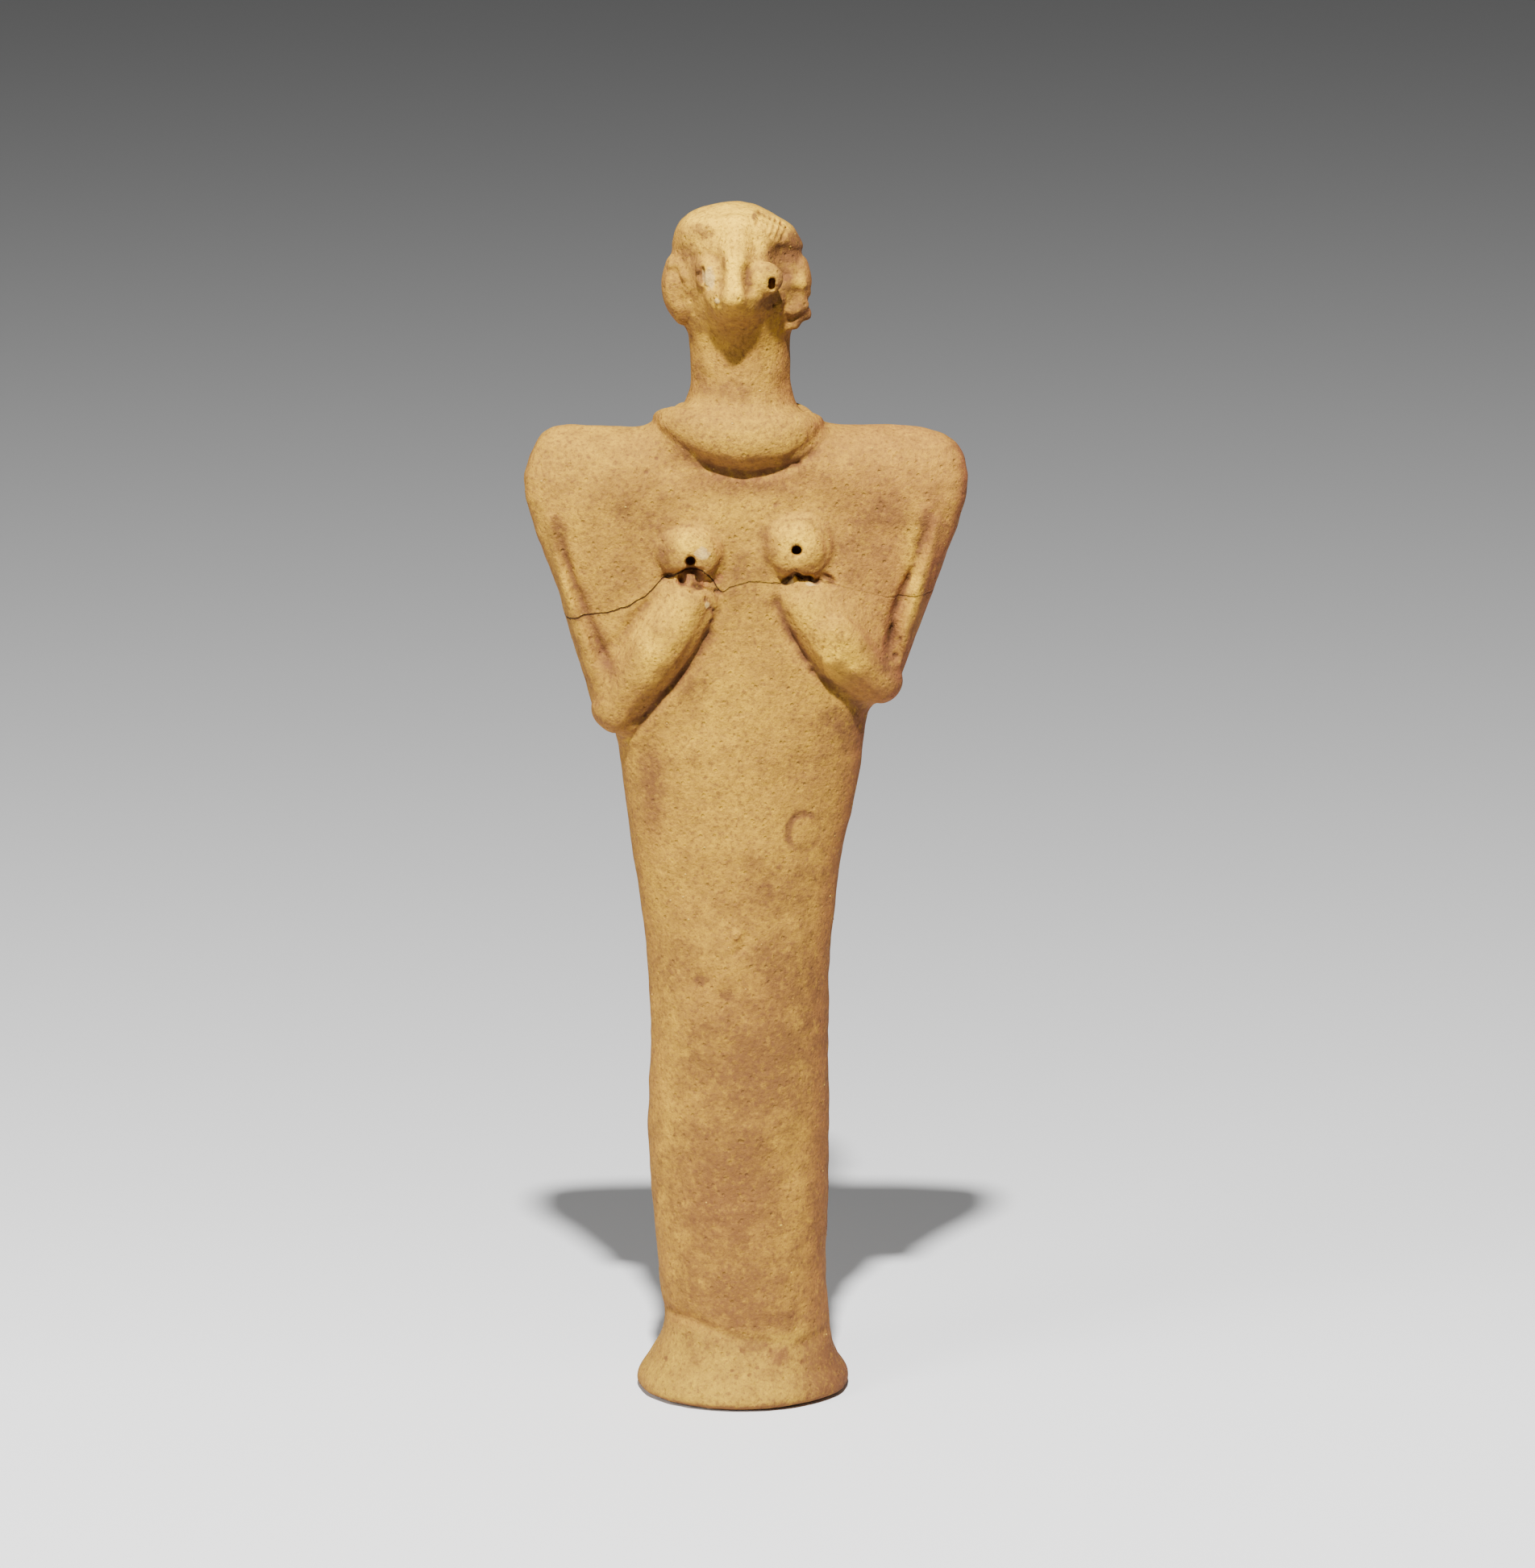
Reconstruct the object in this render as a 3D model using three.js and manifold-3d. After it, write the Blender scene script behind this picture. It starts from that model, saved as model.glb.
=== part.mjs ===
// A hand-modelled standing idol in fired clay: a flared round foot, a pillar body that widens into
// a flat chest with square shoulders, both forearms folded up to the breasts, a thick collar roll,
// and a small beaked head with pellet eyes, lug ears and a cap of hair. It was fired in one piece,
// so it is one solid. Millimetres, +Z up, the face looks along -Y, and the origin is the middle of
// the foot's underside. Left and right are as seen by someone who faces the idol.
import * as THREE from 'three';
import { LoftGeometry } from 'three/addons/geometries/LoftGeometry.js';
import { mergeVertices } from 'three/addons/utils/BufferGeometryUtils.js';
import Module from 'manifold-3d';

const wasm = await Module();
wasm.setup();

// Driving sizes of the body, the neck and the head.
const HEIGHT = 160;
const SHOULDER_WIDTH = 58.3;
const CHEST_DEPTH = 15.4;
const PILLAR_WIDTH = 24;
const PILLAR_DEPTH = 18.8;
const FOOT_WIDTH = 28.1;
const FOOT_DEPTH = 26.6;
const NECK_WIDTH = 13.3;
const NECK_DEPTH = 12.6;
const HEAD_WIDTH = 15.4;
const HEAD_DEPTH = 15.6;
const BEAK_REACH = 4;
const CAP_THICKNESS = 1;

// Sizes of the rolls and pellets of clay that were pressed on, and of the tool's marks.
const UPPER_ARM_WIDTH = 6;
const FOREARM_WIDTH = 8.6;
const COLLAR_WIDTH = 6.4;
const BREAST_WIDTH = 8.6;
const BREAST_REACH = 2.4;
const NAVEL_WIDTH = 2.1;
const EYE_WIDTH = 4.6;
const EYE_REACH = 1.4;
const NOSE_WIDTH = 2.6;
const EAR_WIDTH = 4.2;
const EAR_DEPTH = 6;
const BREAST_HOLE = 1.6;
const EYE_HOLE = 1.1;
const HOLE_DEPTH = 2.6;
const GROOVE_WIDTH = 1.6;

// Places are written as they are on an idol of this height and of these widths, and follow the
// real height and widths.
const drawn = { height: 160, shoulders: 58.3, pillar: 24, neck: 13.3, head: 15.4 };
const up = (z) => (z * HEIGHT) / drawn.height;
const acrossChest = (x) => (x * SHOULDER_WIDTH) / drawn.shoulders;
const acrossPillar = (x) => (x * PILLAR_WIDTH) / drawn.pillar;
const acrossNeck = (x) => (x * NECK_WIDTH) / drawn.neck;
const acrossHead = (x) => (x * HEAD_WIDTH) / drawn.head;

// Fineness of the faceted surface.
const TRUNK_SIDES = 42;
const HEAD_SIDES = 32;
const ROLL_SIDES = 14;
const PELLET_SIDES = 14;
const HOLE_SIDES = 10;
const ROW_SPACING = 4.2;

const CLAY = new THREE.MeshStandardMaterial({ color: 0xd3b279, roughness: 0.92, metalness: 0 });

const { clamp, lerp } = THREE.MathUtils;

// A level outline of a body: how far it reaches left, right, front and back, how square its
// corners are, and how far a beak is pinched out of its front and a rim lifted there.
function station(z, left, right, front, back, { square = 2.1, beak = 0, rise = 0 } = {}) {
  return { z, left, right, front, back, square, beak, rise };
}

// A value between hand-set stations, smooth and without overshoot (a monotone cubic).
function between(stations, key, z) {
  const last = stations.length - 1;
  const slope = (i) => (stations[i + 1][key] - stations[i][key]) / (stations[i + 1].z - stations[i].z);
  const tangent = (i) => {
    if (i === 0 || i === last) return slope(Math.min(i, last - 1));
    const [before, after] = [slope(i - 1), slope(i)];
    return before * after > 0 ? (2 * before * after) / (before + after) : 0;
  };
  const above = stations.findIndex((s) => s.z > z);
  const i = clamp(above < 0 ? last - 1 : above - 1, 0, last - 1);
  const gap = stations[i + 1].z - stations[i].z;
  const t = clamp((z - stations[i].z) / gap, 0, 1);
  return (
    (1 + 2 * t) * (1 - t) ** 2 * stations[i][key] +
    t * (1 - t) ** 2 * gap * tangent(i) +
    t * t * (3 - 2 * t) * stations[i + 1][key] -
    t * t * (1 - t) * gap * tangent(i + 1)
  );
}

function sectionAt(stations, z) {
  const keys = ['left', 'right', 'front', 'back', 'square', 'beak', 'rise'];
  return Object.fromEntries([['z', z], ...keys.map((key) => [key, between(stations, key, z)])]);
}

// How far a pinched beak stands out at a distance from its middle line.
const BEAK_HALF_WIDTH = 0.3 * HEAD_WIDTH;
const BEAK_MIDDLE = acrossHead(-0.9);
const beakAt = (section, x) => section.beak * Math.exp(-(((x - BEAK_MIDDLE) / BEAK_HALF_WIDTH) ** 2));

// The ring of points round one section, anticlockwise from above.
function ring(section, sides) {
  const power = 2 / section.square;
  return Array.from({ length: sides }, (_, i) => {
    const angle = (i / sides) * 2 * Math.PI;
    const [c, s] = [Math.cos(angle), Math.sin(angle)];
    const x = Math.sign(c) * Math.abs(c) ** power * (c < 0 ? section.left : section.right);
    const frontness = Math.max(0, -s);
    const bulge = Math.sign(s) * Math.abs(s) ** power * (s < 0 ? section.front : section.back);
    const y = bulge - beakAt(section, x) * frontness;
    return new THREE.Vector3(x, y, section.z + section.rise * frontness ** 2);
  });
}

// The closed skin through a stack of stations.
function stack(stations, sides) {
  const rows = [];
  stations.slice(0, -1).forEach((s, i) => {
    const gap = stations[i + 1].z - s.z;
    const steps = Math.max(1, Math.round(gap / ROW_SPACING));
    for (let k = 0; k < steps; k++) rows.push(ring(sectionAt(stations, s.z + (gap * k) / steps), sides));
  });
  rows.push(ring(stations.at(-1), sides));
  return new LoftGeometry(rows, { capStart: true, capEnd: true });
}

// The Y of a stack's front surface at a place.
function frontOf(stations, x, z) {
  const s = sectionAt(stations, z);
  const share = Math.min(1, Math.abs(x) / (x < 0 ? s.left : s.right));
  const bulge = (1 - share ** s.square) ** (1 / s.square);
  return -s.front * bulge - beakAt(s, x) * bulge;
}

// A roll of clay along a smooth path, with rounded ends. Each stop has its centre at, its half
// width across the path and its half width along the given direction.
function roll(stops, direction = new THREE.Vector3(0, 1, 0), rows = 2 * stops.length) {
  const path = new THREE.CatmullRomCurve3(stops.map((stop) => stop.at));
  const sizeAt = (t, key) => {
    const i = Math.min(stops.length - 2, Math.floor(t * (stops.length - 1)));
    return lerp(stops[i][key], stops[i + 1][key], t * (stops.length - 1) - i);
  };
  const section = (t, beyond, share) => {
    const tangent = path.getTangent(t);
    const across = new THREE.Vector3().crossVectors(tangent, direction).normalize();
    const along = new THREE.Vector3().crossVectors(across, tangent).normalize();
    const centre = path.getPoint(t).addScaledVector(tangent, beyond * sizeAt(t, 'across'));
    return Array.from({ length: ROLL_SIDES }, (_, i) => {
      const angle = (i / ROLL_SIDES) * 2 * Math.PI;
      return centre
        .clone()
        .addScaledVector(across, Math.cos(angle) * sizeAt(t, 'across') * share)
        .addScaledVector(along, -Math.sin(angle) * sizeAt(t, 'along') * share);
    });
  };
  const endAngles = [0.15, 0.45, 0.75].map((share) => (share * Math.PI) / 2);
  const sections = [
    ...endAngles.map((a) => section(0, -Math.cos(a), Math.sin(a))),
    ...Array.from({ length: rows + 1 }, (_, k) => section(k / rows, 0, 1)),
    ...endAngles.toReversed().map((a) => section(1, Math.cos(a), Math.sin(a))),
  ];
  return new LoftGeometry(sections, { capStart: true, capEnd: true });
}

// A pellet of clay: a ball pressed to three half sizes.
function pellet(x, y, z, halfWidth, halfDepth, halfHeight) {
  return new THREE.SphereGeometry(1, PELLET_SIDES, PELLET_SIDES / 2 + 1)
    .rotateX(Math.PI / 2)
    .scale(halfWidth, halfDepth, halfHeight)
    .translate(x, y, z);
}

// A round hole pricked straight back into a surface.
function prick(x, y, z, width) {
  return new THREE.CylinderGeometry(width / 2, width / 2, 2 * HOLE_DEPTH, HOLE_SIDES).translate(x, y, z);
}

// The foot, the pillar and the chest, from the floor to the tops of the shoulders.
const foot = (z, wide, deep) => {
  const [halfWidth, halfDepth] = [(wide * FOOT_WIDTH) / 2, (deep * FOOT_DEPTH) / 2];
  return station(up(z), halfWidth, halfWidth, halfDepth, halfDepth);
};
const pillar = (z, left, right, deep) => {
  const half = (deep * PILLAR_DEPTH) / 2;
  return station(up(z), acrossPillar(left), acrossPillar(right), half, half);
};
const chest = (z, left, right, deep, square) => {
  const half = (deep * CHEST_DEPTH) / 2;
  return station(up(z), acrossChest(left), acrossChest(right), half, half, { square });
};
const trunk = [
  foot(0, 0.985, 0.985),
  foot(0.7, 0.997, 1),
  foot(1.8, 0.995, 0.99),
  foot(3.3, 0.94, 0.93),
  pillar(5, 12.2, 12.1, 1.15),
  pillar(6.8, 10.9, 11.9, 1.03),
  pillar(8.8, 10.3, 11.75, 0.98),
  pillar(12.5, 10.9, 11.3, 0.97),
  pillar(18, 11.4, 11.3, 0.98),
  pillar(27, 12.2, 11.75, 1),
  pillar(37, 12.6, 11.95, 1.01),
  pillar(48, 12.4, 11.5, 1),
  pillar(57, 12.75, 11.4, 0.98),
  pillar(66.2, 13.6, 12.5, 0.96),
  chest(74.2, 14.6, 13.7, 1.14, 2.2),
  chest(82.1, 15.7, 15.5, 1.09, 2.35),
  chest(88.5, 16.35, 16.55, 1.05, 2.5),
  chest(93, 16.9, 17.3, 1.03, 2.8),
  chest(96, 18.4, 19, 1.02, 3.2),
  chest(99.5, 20.8, 21.3, 1.01, 3.7),
  chest(104, 22.5, 22.8, 1.01, 4.2),
  chest(110.8, 25.1, 25.4, 1.01, 4.4),
  chest(117, 27.3, 28, 0.99, 4.3),
  chest(121.5, 28.5, 29.4, 0.96, 4),
  chest(124.2, 28.64, 29.66, 0.91, 3.7),
  chest(126.6, 27.9, 29.2, 0.82, 3.4),
  chest(128.5, 27, 28.1, 0.68, 3.1),
  chest(129.6, 26.2, 26.8, 0.48, 2.8),
  chest(130.35, 24.7, 24.4, 0.28, 2.6),
  chest(130.7, 22.4, 21.6, 0.1, 2.5),
];

// The neck, and the skull with its front pinched out to a beak.
const neck = (z, left, right, deep) => {
  const half = (deep * NECK_DEPTH) / 2;
  return station(up(z), acrossNeck(left), acrossNeck(right), half, half);
};
const skull = (z, left, right, front, back, beak) => {
  const [fore, aft] = [(front * HEAD_DEPTH) / 2, (back * HEAD_DEPTH) / 2];
  return station(up(z), acrossHead(left), acrossHead(right), fore, aft, { beak: beak * BEAK_REACH });
};
const head = [
  neck(120, 9.6, 9, 0.9),
  neck(128, 9.6, 9, 1.04),
  neck(131.5, 8.4, 7.8, 1.08),
  neck(134, 7.3, 6.8, 1.02),
  neck(136, 6.95, 6.35, 1),
  neck(141.5, 6.95, 6.35, 1),
  skull(143.4, 7.2, 6.6, 0.83, 0.87, 0.08),
  skull(145, 7.45, 6.85, 0.86, 0.93, 0.36),
  skull(146.4, 7.65, 7.05, 0.89, 0.98, 0.78),
  skull(147.6, 7.75, 7.2, 0.93, 1.01, 1.03),
  skull(149.4, 7.9, 7.35, 0.96, 1.04, 0.98),
  skull(153, 8, 7.5, 1, 1.04, 0.5),
  skull(156, 7.6, 6.8, 0.98, 0.98, 0.16),
  skull(158, 5.8, 4.2, 0.74, 0.78, 0),
];

// The cap of hair, laid over the skull: its rim lifts over the forehead.
const RIM_LIFT = 2.1;
const hair = (z, left, right, front, back, lift) => {
  const sideways = [acrossHead(left), acrossHead(right)];
  const frontAndBack = [(front * HEAD_DEPTH) / 2, (back * HEAD_DEPTH) / 2];
  const reaches = [...sideways, ...frontAndBack].map((reach) => reach + CAP_THICKNESS);
  return station(up(z), ...reaches, { rise: lift * RIM_LIFT });
};
const cap = [
  hair(153.2, 6.9, 6.4, 0.72, 0.86, 1),
  hair(153.9, 8, 7.3, 0.82, 0.98, 1),
  hair(155.2, 7.8, 6.7, 0.83, 0.98, 0.9),
  hair(156.6, 7.5, 6, 0.78, 0.92, 0.7),
  hair(157.6, 6.9, 4.9, 0.68, 0.83, 0.5),
  hair(158.5, 5.8, 3.5, 0.52, 0.7, 0.3),
  hair(159.3, 4.3, 1.9, 0.32, 0.5, 0.1),
  hair(159.8, 2.6, 0, 0.12, 0.28, 0),
  hair(160, 1.3, -0.8, 0, 0.1, 0),
];

// One arm: a roll down the edge of the chest and a roll folded up to the breast. side is -1 for
// the left arm, and 1 for the right.
function arm(side, { edge, elbow, wrist, hand, fullness, sunk }) {
  const half = FOREARM_WIDTH / 2;
  const slim = UPPER_ARM_WIDTH / 2;
  const stop = (x, y, z, across, along) => ({ at: new THREE.Vector3(x, y, z), across, along });
  const onEdge = edge.map(([x, z, full]) =>
    stop(side * (acrossChest(x) - slim), -0.05 * CHEST_DEPTH, up(z), slim, 0.42 * full * CHEST_DEPTH),
  );
  const onChest = ([x, z], depth, share) => {
    const [place, level] = [side * acrossChest(x), up(z)];
    return stop(place, frontOf(trunk, place, level) + depth * half, level, half * share, half * share);
  };
  const bend = stop(side * acrossChest(elbow[0]), -0.26 * CHEST_DEPTH, up(elbow[1]), 0.93 * half, half);
  return [
    roll([...onEdge, stop(bend.at.x, -0.1 * CHEST_DEPTH, bend.at.z, 0.88 * half, 0.42 * CHEST_DEPTH)]),
    roll([bend, onChest(wrist, sunk, fullness), onChest(hand, 0.15 + sunk, 0.93 * fullness)]),
  ];
}
const leftArm = {
  edge: [[27.3, 119.5, 0.9], [25.1, 111.5, 1], [22.9, 103.5, 1], [21.2, 98.5, 1]],
  elbow: [15.9, 94.4],
  wrist: [11, 102.4],
  hand: [6.9, 108.7],
  fullness: 1,
  sunk: 0.15,
};
const rightArm = {
  edge: [[28, 119, 0.9], [25.5, 111.5, 1], [23.4, 104.5, 1], [22.3, 100.5, 1]],
  elbow: [17.6, 98],
  wrist: [13.1, 103],
  hand: [9.1, 107.9],
  fullness: 1.12,
  sunk: 0.28,
};

// The groove pressed between an upper arm and the chest. It runs out at its top.
function groove(places) {
  const path = new THREE.CatmullRomCurve3(
    places.map(([x, z], i) => {
      const [place, level] = [acrossChest(x), up(z)];
      const lift = (i === 0 ? 0.6 : 0.15) * GROOVE_WIDTH;
      return new THREE.Vector3(place, frontOf(trunk, place, level) - lift, level);
    }),
  );
  const mark = new THREE.Shape().absarc(0, 0, GROOVE_WIDTH / 2, 0, 2 * Math.PI);
  return new THREE.ExtrudeGeometry(mark, { extrudePath: path, steps: 10, curveSegments: 4 });
}
const leftGroove = [
  [-24.4, 121], [-23, 114.7], [-21.4, 109.9], [-19.9, 106.1], [-18.4, 102.4], [-17.2, 99.8],
];
const rightGroove = [
  [24.4, 120.5], [23.6, 116.4], [22.4, 112.4], [21.1, 108.6], [20.2, 105], [19.6, 101.2],
];

// The collar: a thick roll across the front of the neck's root and a slimmer one behind.
function collar() {
  const half = COLLAR_WIDTH / 2;
  const lying = new THREE.Vector3(0, 0, 1);
  const stop = ([x, frontness, z, share]) => ({
    at: new THREE.Vector3(acrossNeck(x), (-frontness * NECK_DEPTH) / 2, up(z)),
    across: 0.76 * share * half,
    along: share * half,
  });
  const front = [
    [-10.4, 0, 130.8, 0.7], [-8.6, 0.6, 131.2, 0.92], [-4.6, 0.98, 130.5, 1.12], [0.6, 1.08, 129.9, 1.2],
    [5.6, 0.92, 130.1, 1.06], [8.8, 0.5, 130.3, 0.8], [10, 0, 130.2, 0.5],
  ];
  const back = [
    [9.6, 0, 130.3, 0.5], [6.8, -0.95, 130.8, 0.6], [0, -1.2, 131.2, 0.64],
    [-6.8, -0.95, 131, 0.64], [-9.8, 0, 130.9, 0.65],
  ];
  return [roll(front.map(stop), lying), roll(back.map(stop), lying)];
}

// The face's pellet eyes, turned to lie on the slopes of the beak, and the ridge of the nose.
function face() {
  const eye = (x, z) => {
    const [place, level] = [acrossHead(x), up(z)];
    const step = 0.2 * EYE_WIDTH;
    const rise = frontOf(head, place + step, level) - frontOf(head, place - step, level);
    return pellet(0, 0.35 * EYE_REACH, 0, EYE_WIDTH / 2, EYE_REACH, 0.54 * EYE_WIDTH)
      .rotateZ(Math.atan2(rise, 2 * step))
      .translate(place, frontOf(head, place, level), level);
  };
  const half = NOSE_WIDTH / 2;
  const bridge = [[-1.1, 154.2, 0.8], [-1, 151.6, 0.45], [-0.9, 149.4, 0.2]].map(([x, z, sunk]) => ({
    at: new THREE.Vector3(acrossHead(x), frontOf(head, acrossHead(x), up(z)) + sunk * half, up(z)),
    across: half,
    along: half,
  }));
  return [eye(-4.7, 151.6), eye(2.8, 151), roll(bridge)];
}

// The lug ears, each a flattened roll down the side of the head.
function ears() {
  const ear = (side, places) =>
    roll(
      places.map(([x, z, share]) => ({
        at: new THREE.Vector3(side * (acrossHead(x) - (share * EAR_WIDTH) / 2), -0.1 * HEAD_DEPTH, up(z)),
        across: (share * EAR_WIDTH) / 2,
        along: (share * EAR_DEPTH) / 2,
      })),
    );
  return [
    ear(-1, [[9.7, 152, 0.8], [10.25, 150, 1], [10, 147.4, 1], [8.8, 145.5, 0.8]]),
    ear(1, [[9, 152, 0.75], [9.4, 150.2, 0.95], [9.2, 147.4, 0.95], [8.1, 145.5, 0.75]]),
  ];
}

// The breasts and the navel, pressed on to the front.
function bodyPellets() {
  const onTrunk = (x, z, width, reach, tall) =>
    pellet(x, frontOf(trunk, x, up(z)) + 0.1 * reach, up(z), width / 2, reach, (tall * width) / 2);
  return [
    onTrunk(acrossChest(-6.5), 114.9, BREAST_WIDTH, BREAST_REACH, 0.95),
    onTrunk(acrossChest(7.4), 115.6, BREAST_WIDTH, BREAST_REACH, 0.95),
    onTrunk(acrossPillar(-0.7), 64.1, NAVEL_WIDTH, 0.35 * NAVEL_WIDTH, 1),
  ];
}

// The holes pricked in the breasts and the eyes.
function holes() {
  const inBreast = (x, z) =>
    prick(acrossChest(x), frontOf(trunk, acrossChest(x), up(z)) - BREAST_REACH, up(z), BREAST_HOLE);
  const inEye = (x, z) =>
    prick(acrossHead(x), frontOf(head, acrossHead(x), up(z)) - EYE_REACH, up(z), EYE_HOLE);
  return [inBreast(-6.4, 114.5), inBreast(7.2, 115.9), inEye(-5.1, 151.7), inEye(3.8, 150.6)];
}

// A closed geometry as a solid.
function solid(geometry) {
  const bare = new THREE.BufferGeometry().copy(geometry);
  bare.deleteAttribute('normal');
  bare.deleteAttribute('uv');
  const merged = mergeVertices(bare, 1e-4);
  return new wasm.Manifold(
    new wasm.Mesh({
      numProp: 3,
      vertProperties: merged.getAttribute('position').array,
      triVerts: new Uint32Array(merged.getIndex().array),
    }),
  );
}

// A solid's surface as a geometry.
function surface(body) {
  const mesh = body.getMesh();
  const geometry = new THREE.BufferGeometry();
  geometry.setAttribute('position', new THREE.BufferAttribute(mesh.vertProperties, 3));
  geometry.setIndex(new THREE.BufferAttribute(mesh.triVerts, 1));
  geometry.computeVertexNormals();
  return geometry;
}

const modelled = [
  stack(trunk, TRUNK_SIDES), stack(head, HEAD_SIDES), stack(cap, HEAD_SIDES),
  ...arm(-1, leftArm), ...arm(1, rightArm),
  ...collar(), ...face(), ...ears(), ...bodyPellets(),
];
const pressed = [groove(leftGroove), groove(rightGroove), ...holes()];
const clay = modelled.map(solid).reduce((whole, piece) => whole.add(piece));
const fired = pressed.map(solid).reduce((whole, mark) => whole.subtract(mark), clay);

const idol = new THREE.Mesh(surface(fired), CLAY);
idol.name = 'idol';
const figure = new THREE.Group();
figure.add(idol);

export default figure;
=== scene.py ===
import math

import bmesh
import bpy
import numpy as np
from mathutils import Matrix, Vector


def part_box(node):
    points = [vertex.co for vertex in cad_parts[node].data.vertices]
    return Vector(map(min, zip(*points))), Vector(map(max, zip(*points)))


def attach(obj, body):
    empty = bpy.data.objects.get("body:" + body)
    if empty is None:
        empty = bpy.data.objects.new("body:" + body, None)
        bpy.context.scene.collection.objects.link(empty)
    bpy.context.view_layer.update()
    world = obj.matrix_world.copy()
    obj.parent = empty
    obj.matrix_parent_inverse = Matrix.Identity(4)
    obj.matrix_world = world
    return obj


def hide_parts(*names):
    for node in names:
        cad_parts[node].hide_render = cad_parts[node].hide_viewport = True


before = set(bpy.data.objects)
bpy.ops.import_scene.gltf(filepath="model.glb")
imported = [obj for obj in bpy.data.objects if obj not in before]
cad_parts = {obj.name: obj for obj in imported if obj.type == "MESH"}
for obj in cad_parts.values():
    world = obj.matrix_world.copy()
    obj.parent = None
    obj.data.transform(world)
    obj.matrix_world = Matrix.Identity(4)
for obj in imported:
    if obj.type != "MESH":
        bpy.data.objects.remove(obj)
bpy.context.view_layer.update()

import openvdb
from bpy.props import FloatProperty, FloatVectorProperty, IntProperty, PointerProperty
from bpy.types import Operator, Panel, PropertyGroup
from mathutils import Vector

bl_info = {
    "name": "Fired-clay idol",
    "version": (1, 0, 0),
    "blender": (4, 5, 0),
    "location": "View3D > Sidebar > Idol",
    "description": "Gives the packed clay idol its hand-modelled surface, stains and grit, and a plain stage",
    "category": "Object",
}

MM = 0.001
IDOL_NODE = "idol"
IDOL_BODY = "root"

# The places below are in millimetres: x to the right of someone who faces the idol, z up from the floor.

# The tool-pressed lines between the chest and the upper arms.
LEFT_ARM_GROOVE = [
    (-23.9, 118.8), (-23, 114.7), (-21.4, 109.9), (-19.9, 106.1), (-18.4, 102.4), (-17, 99.5),
]
RIGHT_ARM_GROOVE = [
    (24.2, 120), (24, 117.9), (22.6, 113.6), (21.1, 109.9), (19.8, 106.7), (19.4, 102.9), (19, 99.9),
]
# The lines where the lower edge of each forearm meets the belly.
LEFT_FOREARM_EDGE = [(-13.6, 92.6), (-10.2, 96.4), (-7, 99.8), (-4.2, 104.1)]
RIGHT_FOREARM_EDGE = [(4.6, 108.6), (5.3, 107.3), (7.2, 103.2), (9.5, 99.8), (12.8, 96.3), (16.4, 93.3)]
# The pressed line under the collar roll.
COLLAR_EDGE = [
    (-7.5, 128.2), (-6, 126.9), (-2.1, 125.7), (1.8, 125.5), (4.5, 125.9), (6.8, 127.1), (9.5, 128.6),
]

# The break that once parted the idol, from the left elbow side to the right one.
CRACK = [
    (-24.5, 105.7), (-22.8, 106), (-19.9, 106.7), (-17.6, 107), (-15.2, 107.7), (-12.6, 109.3),
    (-10.2, 111.7), (-8.9, 112.1), (-7.1, 113.2), (-5, 113.1), (-4.15, 112.2), (-2.6, 109.9),
    (-1.5, 110.6), (1.1, 111.2), (5.8, 111.05), (7, 112.5), (8, 111.8), (8.9, 112.1), (10.6, 111.5),
    (12, 111.05), (19, 109.1), (24.5, 109.2),
]

# The chipped edge along the break under the right breast.
CHIPS = [(5.6, 111.5), (7, 112.7), (8, 111.9), (8.9, 112.1), (9.5, 111.1), (10.7, 112.1), (11.9, 111.5)]
# The breasts, each with its middle, half its width and half its height.
BREASTS = [(-6.8, 115.3, 4.4, 3.3), (7.5, 116.2, 4.4, 4.1)]
# The holes pricked in the breasts.
PRICKED_HOLES = [(-6.6, 114.3), (7.2, 115.8)]
# The ring-shaped scar on the belly: its middle, half its width and half its height.
RING_SCAR = (8.2, 77.7, 2.1, 2.5)
# The line where the pillar flares out into the foot.
FOOT_LINE = [(-10, 11.3), (-6.4, 11), (-3.3, 9.8), (-1.2, 9), (1.8, 8.6), (4.9, 8), (7.2, 7.6), (11, 8.2)]
# Strokes drawn with a point in the hair at the right of the cap, each from its upper to its lower end.
HAIR_STROKES = [
    ((2.5, 158.9), (2.1, 157.9)), ((3.2, 158.8), (2.8, 157.7)), ((3.8, 158.3), (3.3, 157.1)),
    ((4.4, 157.7), (3.8, 156.5)), ((5.1, 157.3), (4.5, 156.1)), ((5.7, 156.8), (5.2, 155.8)),
]
# Small pits on the front: x, z and width.
PITS = [
    (-3.6, 107.6, 0.6), (-3.9, 106.3, 0.5), (9.3, 99.5, 0.8), (7.4, 126.8, 0.7), (1.7, 158.9, 0.55),
    (3.6, 147.3, 0.6), (0.1, 7.4, 0.45), (2, 5.4, 0.4), (-0.8, 4.4, 0.4), (-1.3, 5.1, 0.35), (1, 4.6, 0.35),
    (3.9, 7.3, 0.4), (8.1, 5.4, 0.5), (8.8, 5.2, 0.4), (-10.2, 5.3, 0.4), (9, 1.6, 0.5), (8.9, 1.1, 0.5),
    (-12.4, 125.6, 0.5), (-11, 127.3, 0.45), (20.1, 101.2, 0.7), (20.6, 103.4, 0.5), (4.4, 121.5, 0.4),
    (-2.2, 47.4, 0.4), (5.2, 38.5, 0.4), (-6.8, 33.2, 0.4), (-4.6, 109.3, 0.5), (-4.1, 108.1, 0.45),
]
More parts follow.
